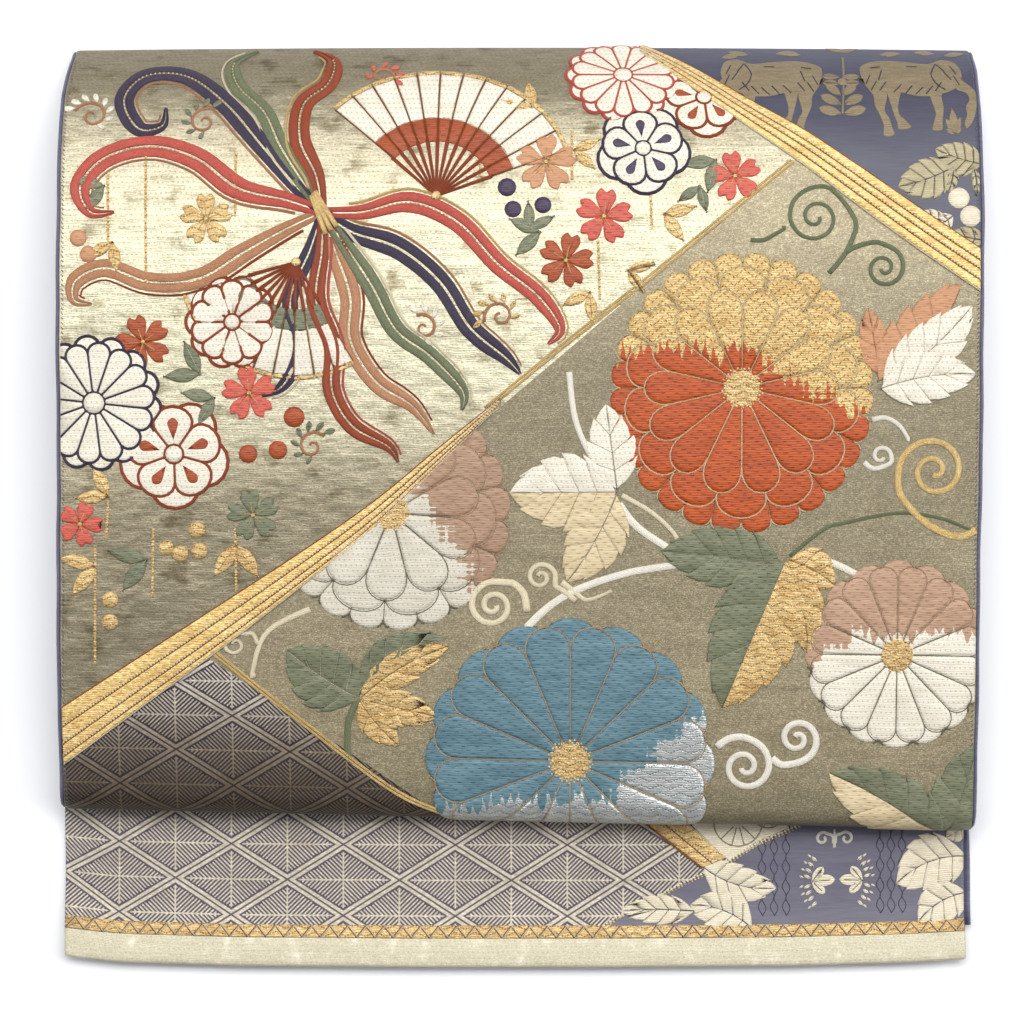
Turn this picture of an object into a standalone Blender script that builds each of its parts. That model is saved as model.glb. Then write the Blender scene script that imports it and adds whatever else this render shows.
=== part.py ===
"""A double-cloth obi sash folded flat, with its drum on top and its tail end showing below the drum.

The sash is two cloths seamed along their long edges: a patterned front cloth and a plain back
cloth, which shows as a piping. The drum is one stretch of the sash. It starts tucked under the
top edge, arches over the folded rest of the sash, rolls under at the bottom edge and returns on
top of the tail stretch, whose end lies below the drum.

Frame: metres. +X runs across the cloth's width, +Y from the tail to the drum's top edge and +Z
up from the table. The origin is on the table, at the centre of the bounding box.
"""

import math
from typing import NamedTuple

import bmesh
import bpy
from mathutils import Vector
from mathutils.geometry import interpolate_bezier

MM = 0.001

# The cloth
SASH_WIDTH = 310.0 * MM
CLOTH = 1.0 * MM
GAP = 0.3 * MM
PIPING = 1.3 * MM
SASH_THICKNESS = 2 * CLOTH + GAP

# The drum: its edge at the top turns on the table, and its roll at the bottom lies on the tail
DRUM_TOP = 158.1 * MM
DRUM_BOTTOM = -105.9 * MM
TOP_TURN_RADIUS = 3.2 * MM
TOP_TURN_END_DEG = 34.0
ROLL_RADIUS = 6.2 * MM
ROLL_START_DEG = 106.0
TUCK_LENGTH = 48.0 * MM
TUCK_END = DRUM_TOP - TOP_TURN_RADIUS - TUCK_LENGTH

# The drum lies a little askew: its roll runs down towards +X, and its sides are lower than its middle
ROLL_SKEW = 3.6 * MM
SKEW_STARTS = 20.0 * MM
SIDE_DROP = 0.9 * MM

# The tail end: it springs up from the table, and its end is bowed
TAIL_START = TUCK_END - GAP
TAIL_END = -158.1 * MM
TAIL_LIFT = 4.0 * MM
LIFT_STARTS = -122.0 * MM
HEM_DEPTH = 6.5 * MM
HEM_GAP = 0.6 * MM
BACK_SHIFT = 0.7 * MM

# The folded rest of the sash
PLY_PITCH = 2.39 * MM
PLY_OVERLAP = 0.3 * MM
PLY_ROUNDING = 1.15 * MM
PLY_CLEARANCE = 0.3 * MM
PLY_LIFT = 0.03 * MM
PLY_HALF_WIDTH = 153.4 * MM
PLY_STAGGER = 0.9 * MM
FILLER_START = TAIL_START + GAP

ACROSS_SHARES = (-1.0, -0.88, -0.6, -0.2, 0.2, 0.6, 0.88, 1.0)
FACE_STEPS_PER_SPAN = 2


class Knot(NamedTuple):
    """A point of the drum's side outline, in millimetres."""

    y: float
    z: float


DRUM_FACE = (
    Knot(y=155.2, z=8.2),
    Knot(y=151.8, z=12.0),
    Knot(y=147.3, z=16.0),
    Knot(y=142.0, z=19.7),
    Knot(y=135.5, z=23.2),
    Knot(y=127.0, z=26.6),
    Knot(y=117.0, z=29.3),
    Knot(y=104.0, z=31.6),
    Knot(y=88.0, z=32.8),
    Knot(y=64.0, z=33.0),
    Knot(y=38.0, z=32.3),
    Knot(y=8.0, z=30.9),
    Knot(y=-22.0, z=28.8),
    Knot(y=-48.0, z=26.0),
    Knot(y=-68.0, z=22.8),
    Knot(y=-85.0, z=19.0),
)


class TailCorner(NamedTuple):
    """How far the tail's end is drawn in at a share of the half width."""

    across: float
    drawn_in: float


TAIL_OUTLINE = (
    TailCorner(across=-1.0, drawn_in=4.1 * MM),
    TailCorner(across=-0.88, drawn_in=1.8 * MM),
    TailCorner(across=-0.6, drawn_in=0.5 * MM),
    TailCorner(across=-0.2, drawn_in=0.0),
    TailCorner(across=0.2, drawn_in=0.0),
    TailCorner(across=0.6, drawn_in=0.5 * MM),
    TailCorner(across=0.88, drawn_in=1.7 * MM),
    TailCorner(across=1.0, drawn_in=2.8 * MM),
)


class Finish(NamedTuple):
    """A material's colour, roughness and metallic value."""

    colour: tuple
    roughness: float
    metallic: float


BROCADE = Finish(colour=(0.42, 0.36, 0.22, 1.0), roughness=0.55, metallic=0.3)
GOLD_BROCADE = Finish(colour=(0.62, 0.55, 0.36, 1.0), roughness=0.5, metallic=0.4)
NAVY_SILK = Finish(colour=(0.09, 0.085, 0.16, 1.0), roughness=0.7, metallic=0.0)
FOLDED_SASH = Finish(colour=(0.30, 0.27, 0.22, 1.0), roughness=0.7, metallic=0.1)


def clear_scene():
    """Removes every object that the file starts with."""
    for obj in list(bpy.data.objects):
        bpy.data.objects.remove(obj)


def material(name, finish):
    """A Principled material of that finish."""
    made = bpy.data.materials.new(name)
    made.use_nodes = True
    shader = made.node_tree.nodes["Principled BSDF"]
    shader.inputs["Base Color"].default_value = finish.colour
    shader.inputs["Roughness"].default_value = finish.roughness
    shader.inputs["Metallic"].default_value = finish.metallic
    return made


def eased(value, start, end):
    """0 before start, 1 after end, and a smooth ramp between them."""
    share = min(1.0, max(0.0, (value - start) / (end - start)))
    return share * share * (3 - 2 * share)


def arc(centre, radius, start_deg, end_deg, steps):
    """Points of an arc in the side plane, its first and last points included."""
    angles = (math.radians(start_deg + (end_deg - start_deg) * i / steps) for i in range(steps + 1))
    return [centre + radius * Vector((math.cos(a), math.sin(a))) for a in angles]


def smooth_line(knots, steps):
    """A smooth line through the knots, with that many steps in each span."""
    points = []
    for i in range(len(knots) - 1):
        before, start, end = knots[max(i - 1, 0)], knots[i], knots[i + 1]
        after = knots[min(i + 2, len(knots) - 1)]
        first_handle = start + (end - before) / 6
        last_handle = end - (after - start) / 6
        span = interpolate_bezier(start, first_handle, last_handle, end, steps + 1)
        points += span if i == 0 else span[1:]
    return points


def straight(start, end, steps):
    """Points from start to end, in equal steps."""
    return [start.lerp(end, i / steps) for i in range(steps + 1)]


def moved_in(line, depth):
    """The line moved to its left by depth, each of its steps staying parallel to itself."""
    lefts = [Vector((a.y - b.y, b.x - a.x)).normalized() for a, b in zip(line, line[1:])]
    moved = []
    for i, point in enumerate(line):
        before, after = lefts[max(i - 1, 0)], lefts[min(i, len(lefts) - 1)]
        middle = (before + after).normalized()
        moved.append(point + depth / middle.dot(before) * middle)
    return moved


def drum_line():
    """The drum's outer face from the side, from the tuck under its top edge to its return over the tail."""
    turn_centre = Vector((DRUM_TOP - TOP_TURN_RADIUS, TOP_TURN_RADIUS))
    roll_centre = Vector((DRUM_BOTTOM + ROLL_RADIUS, SASH_THICKNESS + GAP + ROLL_RADIUS))
    tuck = straight(Vector((TUCK_END, 0.0)), Vector((turn_centre.x, 0.0)), 2)
    turn = arc(turn_centre, TOP_TURN_RADIUS, -90, TOP_TURN_END_DEG, 6)
    roll = arc(roll_centre, ROLL_RADIUS, ROLL_START_DEG, 270, 10)
    face_knots = [turn[-1], *(Vector((k.y, k.z)) * MM for k in DRUM_FACE), roll[0]]
    face = smooth_line(face_knots, FACE_STEPS_PER_SPAN)
    back = straight(roll[-1], Vector((TAIL_START, roll[-1].y)), 4)
    return tuck[:-1] + turn[:-1] + face[:-1] + roll[:-1] + back


def drum_place(x, y, z):
    """Where a point of the drum or of its filling lies once the drum is laid a little askew."""
    share = x / (SASH_WIDTH / 2)
    skew = ROLL_SKEW * share * (1 - eased(y, DRUM_BOTTOM + ROLL_RADIUS, SKEW_STARTS))
    raised = eased(z, 2 * SASH_THICKNESS, DRUM_FACE[9].z * MM)
    return Vector((x, y - skew, z - SIDE_DROP * share * share * raised))


def drawn_in_at(share):
    """How far the tail's end is drawn in there, read between the outline's corners."""
    for a, b in zip(TAIL_OUTLINE, TAIL_OUTLINE[1:]):
        if share <= b.across:
            part = (share - a.across) / (b.across - a.across)
            return a.drawn_in + max(0.0, part) * (b.drawn_in - a.drawn_in)
    return TAIL_OUTLINE[-1].drawn_in


def tail_place(x, y, z):
    """Where a point of the flat tail lies once its end is bowed and springs up."""
    share = max(-1.0, min(1.0, x / (SASH_WIDTH / 2)))
    drawn = drawn_in_at(share) * (1 - eased(y, TAIL_END, LIFT_STARTS))
    lift = TAIL_LIFT * (1 - eased(y, TAIL_END, LIFT_STARTS)) ** 2
    return Vector((x, y + drawn, z + lift))


def cloth(name, line, low_x, high_x, place, finish):
    """A cloth with its outer face along the side line, lofted across its width and given its thickness."""
    shell = bmesh.new()
    sections = []
    for share in ACROSS_SHARES:
        x = (low_x + high_x) / 2 + share * (high_x - low_x) / 2
        sections.append([shell.verts.new(place(x, p.x, p.y)) for p in line])
    for section in sections:
        for a, b in zip(section, section[1:]):
            shell.edges.new((a, b))
    for before, after in zip(sections, sections[1:]):
        edges = [shell.edges.get(pair) for s in (before, after) for pair in zip(s, s[1:])]
        bmesh.ops.bridge_loops(shell, edges=edges)
    bmesh.ops.recalc_face_normals(shell, faces=shell.faces)
    turn_outward(shell, line, place)
    mesh = bpy.data.meshes.new(name)
    shell.to_mesh(mesh)
    shell.free()
    mesh.shade_smooth()
    obj = bpy.data.objects.new(name, mesh)
    bpy.context.scene.collection.objects.link(obj)
    thickness = obj.modifiers.new("thickness", "SOLIDIFY")
    thickness.thickness = CLOTH
    thickness.offset = -1.0
    thickness.use_even_offset = True
    obj.data.materials.append(finish)
    return obj


def turn_outward(shell, line, place):
    """Turns the faces over if they look to the line's left, where the cloth's inside is."""
    shell.faces.ensure_lookup_table()
    middle = len(line) // 2
    along = line[middle + 1] - line[middle]
    outward = Vector((0.0, along.y, -along.x))
    spot = place(0.0, *((line[middle] + line[middle + 1]) / 2))
    nearest = min(shell.faces, key=lambda f: (f.calc_center_median() - spot).length)
    if nearest.normal.dot(outward) < 0:
        bmesh.ops.reverse_faces(shell, faces=shell.faces)


def add_drum(materials):
    """The drum's front cloth, and its back cloth, which lies inside it and shows at both edges."""
    line = drum_line()
    back_half = SASH_WIDTH / 2
    front_half = back_half - PIPING
    cloth("drum_front_cloth", line, -front_half, front_half, drum_place, materials["brocade"])
    inner = moved_in(line, CLOTH + GAP)
    cloth("drum_back_cloth", inner, -back_half, back_half, drum_place, materials["navy"])


def flat_tail(z):
    """The tail at that height from its start to its hem, with short steps where it springs up."""
    lift_start = Vector((LIFT_STARTS, z))
    hem_start = Vector((TAIL_END + HEM_DEPTH + HEM_GAP, z))
    return straight(Vector((TAIL_START, z)), lift_start, 3)[:-1] + straight(lift_start, hem_start, 6)


def tail_line():
    """The tail's outer face from the side: along its top, round its end and back along the turned-in hem."""
    end_radius = SASH_THICKNESS / 2
    end_centre = Vector((TAIL_END + end_radius, end_radius))
    turn = arc(end_centre, end_radius, 90, 270, 6)
    hem = straight(turn[-1], Vector((TAIL_END + HEM_DEPTH, 0.0)), 2)
    return flat_tail(SASH_THICKNESS) + turn[:-1] + hem


def add_tail(materials):
    """The tail's front cloth with its turned-in end, and its back cloth, which stops short of that hem."""
    back_half = SASH_WIDTH / 2
    front_half = back_half - PIPING
    cloth("tail_front_cloth", tail_line(), -front_half, front_half, tail_place, materials["gold"])
    low_x, high_x = -back_half + 2 * BACK_SHIFT, back_half
    cloth("tail_back_cloth", flat_tail(CLOTH), low_x, high_x, tail_place, materials["navy"])


def room_at(line, z):
    """The lowest and highest y inside the line at that height."""
    crossings = [
        a.x + (b.x - a.x) * (z - a.y) / (b.y - a.y)
        for a, b in zip(line, line[1:])
        if (a.y - z) * (b.y - z) < 0
    ]
    return min(crossings), max(crossings)


def room_between(line, low_z, high_z):
    """The lowest and highest y that are inside the line at both heights."""
    low_room, high_room = room_at(line, low_z), room_at(line, high_z)
    return max(low_room[0], high_room[0]), min(low_room[1], high_room[1])


def ply(name, low, high, half_width):
    """One folded layer: a slab with rounded folds and edges, between two corners of its side view."""
    slab = bmesh.new()
    bmesh.ops.create_cube(slab, size=1.0)
    size = Vector((2 * half_width, high.x - low.x, high.y - low.y))
    centre = Vector((0.0, (low.x + high.x) / 2, (low.y + high.y) / 2))
    bmesh.ops.scale(slab, vec=size, verts=slab.verts)
    bmesh.ops.translate(slab, vec=centre, verts=slab.verts)
    bmesh.ops.bevel(
        slab, geom=slab.edges, offset=PLY_ROUNDING, segments=2, profile=0.5, affect="EDGES", material=-1
    )
    for vert in slab.verts:
        vert.co = drum_place(*vert.co)
    mesh = bpy.data.meshes.new(name)
    slab.to_mesh(mesh)
    slab.free()
    obj = bpy.data.objects.new(name, mesh)
    return obj


def add_inner_folds(materials):
    """The rest of the sash, folded to and fro inside the drum: one solid with its layers showing at the edges."""
    inner = moved_in(drum_line(), SASH_THICKNESS + PLY_CLEARANCE)
    floor = 2 * (SASH_THICKNESS + GAP) + PLY_LIFT
    ceiling = max(point.y for point in inner) - SIDE_DROP
    count = int((ceiling - floor) / PLY_PITCH)
    plies = bpy.data.collections.new("plies")
    bpy.context.scene.collection.children.link(plies)
    filler_low = Vector((FILLER_START, SASH_THICKNESS + 2 * GAP))
    filler_top = floor + PLY_OVERLAP
    filler_high = Vector((room_between(inner, filler_low.y, filler_top)[1], filler_top))
    plies.objects.link(ply("ply_filler", filler_low, filler_high, PLY_HALF_WIDTH))
    for i in range(1, count):
        base = floor + i * PLY_PITCH
        top = base + PLY_PITCH
        y_low, y_high = room_between(inner, base - PLY_OVERLAP, top)
        half_width = PLY_HALF_WIDTH - PLY_STAGGER * (i % 2)
        low, high = Vector((y_low, base - PLY_OVERLAP)), Vector((y_high, top))
        plies.objects.link(ply(f"ply_{i}", low, high, half_width))
    for obj in plies.objects:
        obj.hide_render = True
        obj.display_type = "WIRE"
    y_low, y_high = room_between(inner, floor, floor + PLY_PITCH)
    low, high = Vector((y_low, floor)), Vector((y_high, floor + PLY_PITCH))
    folds = ply("inner_folds", low, high, PLY_HALF_WIDTH)
    bpy.context.scene.collection.objects.link(folds)
    join = folds.modifiers.new("join", "BOOLEAN")
    join.operation = "UNION"
    join.operand_type = "COLLECTION"
    join.collection = plies
    join.solver = "EXACT"
    folds.data.materials.append(materials["folded"])


def main():
    """Builds the sash."""
    clear_scene()
    materials = {
        "brocade": material("front_brocade", BROCADE),
        "gold": material("gold_brocade", GOLD_BROCADE),
        "navy": material("navy_silk", NAVY_SILK),
        "folded": material("folded_sash", FOLDED_SASH),
    }
    add_drum(materials)
    add_tail(materials)
    add_inner_folds(materials)


main()
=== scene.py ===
"""The looks of a double-cloth obi sash that lies folded flat: its cloths, its folds and its raised threads.

The weaving is laid out on flat cloth, in millimetres. A place on it is a complex number, its real part u
running across the cloth and its imaginary part v up along it, and h is a height over the cloth's outer
face. A Surface lays that flat work along the folded sash, in metres.
"""

import logging
import math
from dataclasses import dataclass
from enum import Enum
from typing import Callable, Iterable, NamedTuple, Optional, Sequence, TypeVar, Union

import bmesh
import bpy
import numpy as np
from bmesh.types import BMesh, BMFace, BMVert
from bpy.types import ID, Material, Node, NodeSocket, NodeTree, Object
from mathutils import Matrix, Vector


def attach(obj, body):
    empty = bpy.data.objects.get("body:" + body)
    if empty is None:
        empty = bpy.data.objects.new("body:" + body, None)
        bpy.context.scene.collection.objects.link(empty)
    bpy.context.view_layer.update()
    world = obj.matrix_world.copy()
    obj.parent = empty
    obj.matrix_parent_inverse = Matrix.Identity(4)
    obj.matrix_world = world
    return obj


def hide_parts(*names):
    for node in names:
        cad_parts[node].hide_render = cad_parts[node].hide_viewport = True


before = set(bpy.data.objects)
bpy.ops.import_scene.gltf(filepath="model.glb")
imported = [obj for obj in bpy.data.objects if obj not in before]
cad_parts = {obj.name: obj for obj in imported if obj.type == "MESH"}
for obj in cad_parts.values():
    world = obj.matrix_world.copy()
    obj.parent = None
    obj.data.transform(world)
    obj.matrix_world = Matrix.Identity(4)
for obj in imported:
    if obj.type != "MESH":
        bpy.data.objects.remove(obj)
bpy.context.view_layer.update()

MM = 0.001
BODY = "root"
log = logging.getLogger("obi_sash")
Kind = TypeVar("Kind")
Array = np.ndarray
Numbers = Union[float, Array]
Amount = Union["Field", float]


def at(u: float, v: float) -> complex:
    """The place on the flat cloth, in millimetres."""
    return complex(u, v)


def trail(*numbers: float) -> Array:
    """The places whose u and v follow each other in numbers."""
    return np.array(numbers[::2]) + 1j * np.array(numbers[1::2])


def turn(degrees: float) -> complex:
    """The unit step in that direction, counted from across the cloth."""
    return complex(np.exp(1j * math.radians(degrees)))


def each(kind: Callable[..., Kind], *rows: Sequence[object]) -> tuple[Kind, ...]:
    """One of that kind for each row of its values."""
    return tuple(kind(*row) for row in rows)


def left_of(place: complex, start: complex, end: complex) -> bool:
    """Whether the place is to the left of the line from start to end."""
    return ((place - start) * (end - start).conjugate()).imag > 0


def eased(value: Array, start: float, end: float) -> Array:
    """0 before start, 1 after end, and a smooth ramp between them."""
    share = np.clip((value - start) / (end - start), 0.0, 1.0)
    return share * share * (3 - 2 * share)


def smooth(knots: Sequence[complex], steps: int = 5, closed: bool = False) -> Array:
    """A smooth line through the knots.

    Args:
        knots: the places that it passes.
        steps: how many steps it takes from one knot to the next.
        closed: whether it runs on from the last knot to the first.

    Returns:
        The line's places, without the first one again at the end of a closed line.
    """
    spots = np.asarray(knots, complex)
    padded = np.concatenate([spots[-1:], spots, spots[:2]] if closed else [spots[:1], spots, spots[-1:]])
    share = np.arange(steps)[:, None] / steps
    before, start, end, after = (padded[i : len(padded) - 3 + i][None] for i in range(4))
    first, last = start + (end - before) / 6, end - (after - start) / 6
    rest = 1 - share
    spans = rest**3 * start + 3 * rest**2 * share * first + 3 * rest * share**2 * last + share**3 * end
    line = spans.T.reshape(-1)
    return line if closed else np.append(line, spots[-1])


def arc(centre: complex, radius: float, start: float, end: float, steps: int) -> Array:
    """Places along an arc, from one direction in degrees to another, both ends included."""
    return centre + radius * np.exp(1j * np.radians(np.linspace(start, end, steps + 1)))


def spiral(centre: complex, outer: float, inner: float, start: float, turns: float) -> Array:
    """A tendril that winds in.

    Args:
        centre: the middle of its curl.
        outer: its radius where it starts.
        inner: its radius where it ends.
        start: the direction from the centre to its start, in degrees.
        turns: how often it goes round, anticlockwise if positive.

    Returns:
        The line's places, from outside to inside.
    """
    share = np.linspace(0, 1, max(8, round(abs(turns) * 18)))
    radius = outer + (inner - outer) * share**0.8
    return centre + radius * np.exp(1j * (math.radians(start) + 2 * math.pi * turns * share))


def distances(line: Array) -> Array:
    """How far along the line each of its places is."""
    return np.concatenate([[0.0], np.cumsum(abs(np.diff(line)))])


def picked(s: Numbers, along: Array, line: Array) -> Array:
    """The line's place, or its places, at that distance along it."""
    return np.interp(s, along, line.real) + 1j * np.interp(s, along, line.imag)


def beside(line: Array, distance: Numbers) -> Array:
    """The line moved that far to its left, the same all along or as far as each place has."""
    along = np.gradient(line)
    return line + 1j * distance * along / np.maximum(abs(along), 1e-6)


@dataclass(frozen=True)
class Sash:
    """The folded sash's own sizes, in millimetres and degrees, as its solids have them."""

    half_width: float = 155.0
    front_half: float = 153.7
    layer: float = 1.3
    thickness: float = 2.3
    drum_top: float = 158.1
    drum_bottom: float = -106.6
    turn_radius: float = 3.2
    turn_end: float = 34.0
    roll_radius: float = 8.2
    roll_start: float = 104.0
    tuck_end: float = 106.9
    roll_skew: float = 3.6
    skew_starts: float = 20.0
    top_bow: float = 1.0
    side_drop: float = 0.9
    tail_start: float = 106.6
    tail_end: float = -158.1
    tail_lift: float = 4.0
    lift_starts: float = -122.0
    hem_depth: float = 6.5
    face: tuple[complex, ...] = (
        155.2 + 8.2j, 151.8 + 12.0j, 147.3 + 16.0j, 142.0 + 19.7j, 135.5 + 23.2j, 127.0 + 26.6j,
        117.0 + 29.3j, 104.0 + 31.6j, 88.0 + 32.8j, 64.0 + 33.0j, 38.0 + 32.3j, 8.0 + 30.9j,
        -22.0 + 28.8j, -48.0 + 26.3j, -68.0 + 23.6j, -85.0 + 20.9j,
    )
    corner_shares: tuple[float, ...] = (-1.0, -0.88, -0.6, -0.2, 0.2, 0.6, 0.88, 1.0)
    drawn_in: tuple[float, ...] = (4.1, 1.8, 0.5, 0.0, 0.0, 0.5, 1.7, 2.8)
    drum_shift: float = 0.85
    edge_rows: tuple[float, ...] = (-106.0, -60.0, -20.0, 20.0, 60.0, 129.0, 140.0, 150.0, 155.0)
    left_out: tuple[float, ...] = (0.8, 1.3, 0.6, 0.4, 0.4, 0.4, 0.0, -0.95, -1.53)
    right_out: tuple[float, ...] = (0.6, 0.4, 0.5, 0.85, 1.1, 1.4, 1.55, 1.57, 0.9)
    tail_stretch: float = 1.0068
    tail_shift: float = -0.53

    def drum_side(self) -> Array:
        """The drum's outer face from the side, as y + zi, from its tuck to its return over the tail."""
        fold = complex(self.drum_top - self.turn_radius, self.turn_radius)
        turned = arc(fold, self.turn_radius, -90, self.turn_end, 24)
        centre = complex(self.drum_bottom + self.roll_radius, self.thickness + 0.3 + self.roll_radius)
        rolled = arc(centre, self.roll_radius, self.roll_start, 270, 40)
        tuck = np.linspace(self.tuck_end, turned[0], 12)
        face = smooth([turned[-1], *self.face, rolled[0]], 8)
        back = np.linspace(rolled[-1], complex(self.tail_start, rolled[-1].imag), 40)
        return np.concatenate([tuck[:-1], turned[:-1], face[:-1], rolled[:-1], back])

    def tail_side(self) -> Array:
        """The tail's outer face from the side, as y + zi, along its top, round its end and along its hem."""
        radius = self.thickness / 2
        end = arc(complex(self.tail_end + radius, radius), radius, 90, 270, 16)
        top = np.linspace(complex(self.tail_start, self.thickness), end[0], 60)
        return np.concatenate([top[:-1], end[:-1], np.linspace(end[-1], self.tail_end + self.hem_depth, 6)])


SASH = Sash()


class Crease(NamedTuple):
    """One soft ridge, or a trough if its height is negative, in millimetres and degrees."""

    u: float
    v: float
    turned: float
    length: float
    width: float
    height: float


class Surface:
    """A cloth's outer face, and how flat work lies on it in the folded sash."""

    def __init__(self, side: Array, zero: int, seen: tuple[float, float], creases: Sequence[Crease]) -> None:
        """Measures the side line.

        Args:
            side: the face's side line, as y + zi.
            zero: where on it v is counted from: the y that v agrees with.
            seen: the lowest and highest v that creases may reach.
            creases: the cloth's ridges and troughs.
        """
        steps = np.diff(side)
        self.side = side
        self.along = distances(side)
        outward = -1j * steps / abs(steps)
        mean = np.concatenate([outward[:1], outward[1:] + outward[:-1], outward[-1:]])
        self.outward = mean / abs(mean)
        crossing = next(i for i in range(len(side)) if side[i].real >= zero > side[i + 1].real)
        share = (side[crossing].real - zero) / (side[crossing].real - side[crossing + 1].real)
        self.origin = self.along[crossing] + share * abs(steps[crossing]) + zero
        self.seen = seen
        self.creases = creases

    def relief(self, u: Array, v: Array) -> Array:
        """How far the creases raise the cloth at each place."""
        height = np.zeros_like(u)
        for crease in self.creases:
            local = (u + 1j * v - complex(crease.u, crease.v)) / turn(crease.turned)
            bowed = local.imag + local.real**2 / (6 * crease.length)
            height += crease.height * np.exp(
                -((local.real / crease.length) ** 2) - (bowed / crease.width) ** 2
            )
        low, high = self.seen
        return height * eased(v, low, low + 14) * (1 - eased(v, high - 14, high))

    def place(self, u: Array, y: Array, z: Array) -> tuple[Array, Array, Array]:
        """Where points of the straight shape lie on the real one, as x, y and z."""
        raise NotImplementedError

    def lay(self, flat: Array) -> Array:
        """The flat work's points, a row of u, v and h each, as x, y and z in metres."""
        u, v, h = flat.T
        s = self.origin - v
        outward = picked(s, self.along, self.outward)
        spot = picked(s, self.along, self.side) + outward / abs(outward) * (h + self.relief(u, v))
        return np.stack(self.place(u, spot.real, spot.imag), axis=1) * MM

    def rows(self, bend: float, reach: float) -> Array:
        """Values of v where flat work is cut so that it can follow the folds.

        Args:
            bend: how far the cloth may turn between two of them, in degrees.
            reach: how far apart they may be.

        Returns:
            The values, from high to low, with both ends of the cloth.
        """
        dense = np.linspace(0, self.along[-1], 4000)
        angle = np.unwrap(np.angle(picked(dense, self.along, self.outward)))
        steps = abs(np.diff(angle)) / math.radians(bend) + np.diff(dense) / reach
        spent = np.concatenate([[0.0], np.cumsum(steps)])
        return self.origin - np.interp(np.arange(0, math.ceil(spent[-1])), spent, dense)


class DrumSurface(Surface):
    """The drum's face, which lies a little askew over the tail."""

    def place(self, u: Array, y: Array, z: Array) -> tuple[Array, Array, Array]:
        """Where points of the straight drum lie, as x, y and z."""
        share = u / SASH.half_width
        right, left = (np.interp(y, SASH.edge_rows, out) for out in (SASH.right_out, SASH.left_out))
        out = np.where(share > 0, right, left)
        raised = eased(z, 2 * SASH.thickness, SASH.face[9].imag)
        skew = SASH.roll_skew * share * (1 - eased(y, SASH.drum_bottom + SASH.roll_radius, SASH.skew_starts))
        bow = SASH.top_bow * share**2 * eased(y, 100.0, 156.0)
        return u + SASH.drum_shift + out * share, y - skew - bow, z - SASH.side_drop * share**2 * raised


class TailSurface(Surface):
    """The tail's face, whose end is bowed and springs up from the table."""

    def place(self, u: Array, y: Array, z: Array) -> tuple[Array, Array, Array]:
        """Where points of the flat tail lie, as x, y and z."""
        drawn = np.interp(np.clip(u / SASH.half_width, -1, 1), SASH.corner_shares, SASH.drawn_in)
        near_end = 1 - eased(y, SASH.tail_end, SASH.lift_starts)
        bow = 1 - 0.25 * eased(y, SASH.tail_end, -110) - 0.75 * eased(y, -110, 0)
        return u * SASH.tail_stretch + SASH.tail_shift, y + drawn * bow, z + SASH.tail_lift * near_end**2


DRUM = DrumSurface(
    SASH.drum_side(),
    0,
    (-104.0, 158.0),
    each(
        Crease,
        (-134.1, 69.4, 24, 26, 5, 0.42), (-116.7, 82.1, -38, 20, 4.2, -0.34),
        (-85.9, 84.4, 62, 15, 4, 0.36), (-62.6, 18.4, 18, 24, 4.4, 0.4),
        (-105.2, -20.2, -12, 30, 5.5, -0.4), (-136.3, -37, 34, 24, 5, 0.45),
        (-21.5, 59.3, 80, 22, 4, 0.32), (13.5, 69.3, 28, 18, 4, -0.3),
        (31, 127.6, -30, 22, 4.6, 0.34), (61.7, 92.8, 40, 26, 4.8, 0.3),
        (-11.1, 49.2, -20, 20, 4.5, -0.28), (128.3, 59.3, 12, 34, 8, 0.3),
        (18.6, 12.4, -55, 30, 7, -0.3), (-63.3, -45.8, 10, 40, 9, 0.28),
        (80.9, -43.9, -16, 46, 9, -0.32), (120.2, 117, -35, 36, 10, 0.3),
        (7, -26.3, 6, 60, 12, -0.3),
    ),
)
TAIL = TailSurface(
    SASH.tail_side(),
    -60,
    (-157.0, 106.0),
    each(
        Crease,
        (-107.7, -129.3, 8, 50, 9, 0.28), (1.7, -137, -6, 60, 8, -0.25),
        (107.8, -129.2, 4, 46, 9, 0.26), (42.6, -152.2, 78, 9, 6, -0.2),
        (-93.8, -152, 96, 8, 7, 0.2), (-60, 40, 4, 70, 12, 0.3),
        (70, -10, -8, 60, 10, -0.3),
    ),
)
HIDDEN_RISE = 0.2
TRIM_HALF_WIDTH = 153.35


class Level(Enum):
    """How high over the cloth a thread's work starts, in millimetres."""

    GROUND = 0.0
    LOW = 0.12
    MIDDLE = 0.3
    HIGH = 0.5
    TOP = 0.75


GROUND, LOW, MIDDLE, HIGH, TOP = Level


def flat_place(vert: BMVert) -> Vector:
    """Where flat work's vertex is on the cloth, in metres."""
    return vert.co.xy * MM


def faces_of(verts: Iterable[BMVert]) -> set[BMFace]:
    """The faces that the vertices are on."""
    return {face for vert in verts for face in vert.link_faces}


def dress(faces: Iterable[BMFace], finish: int, uv: object, spot: Callable[..., Sequence[float]]) -> None:
    """Rounds the faces' shading, and gives them their finish and their place on the cloth.

    Args:
        faces: the faces.
        finish: their finish's index.
        uv: the UV layer.
        spot: gives a vertex's place in it.
    """
    for face in faces:
        face.smooth = True
        face.material_index = finish
        for loop in face.loops:
            loop[uv].uv = spot(loop.vert)


def add_grid(bm: BMesh, columns: int, rows: int) -> dict[BMVert, tuple[int, int]]:
    """Adds a grid from -1 to 1, and gives the column and row of each of its vertices."""
    made = bmesh.ops.create_grid(bm, x_segments=columns - 1, y_segments=rows - 1, size=1)["verts"]
    return {v: (round((v.co.x + 1) / 2 * (columns - 1)), round((v.co.y + 1) / 2 * (rows - 1))) for v in made}


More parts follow.
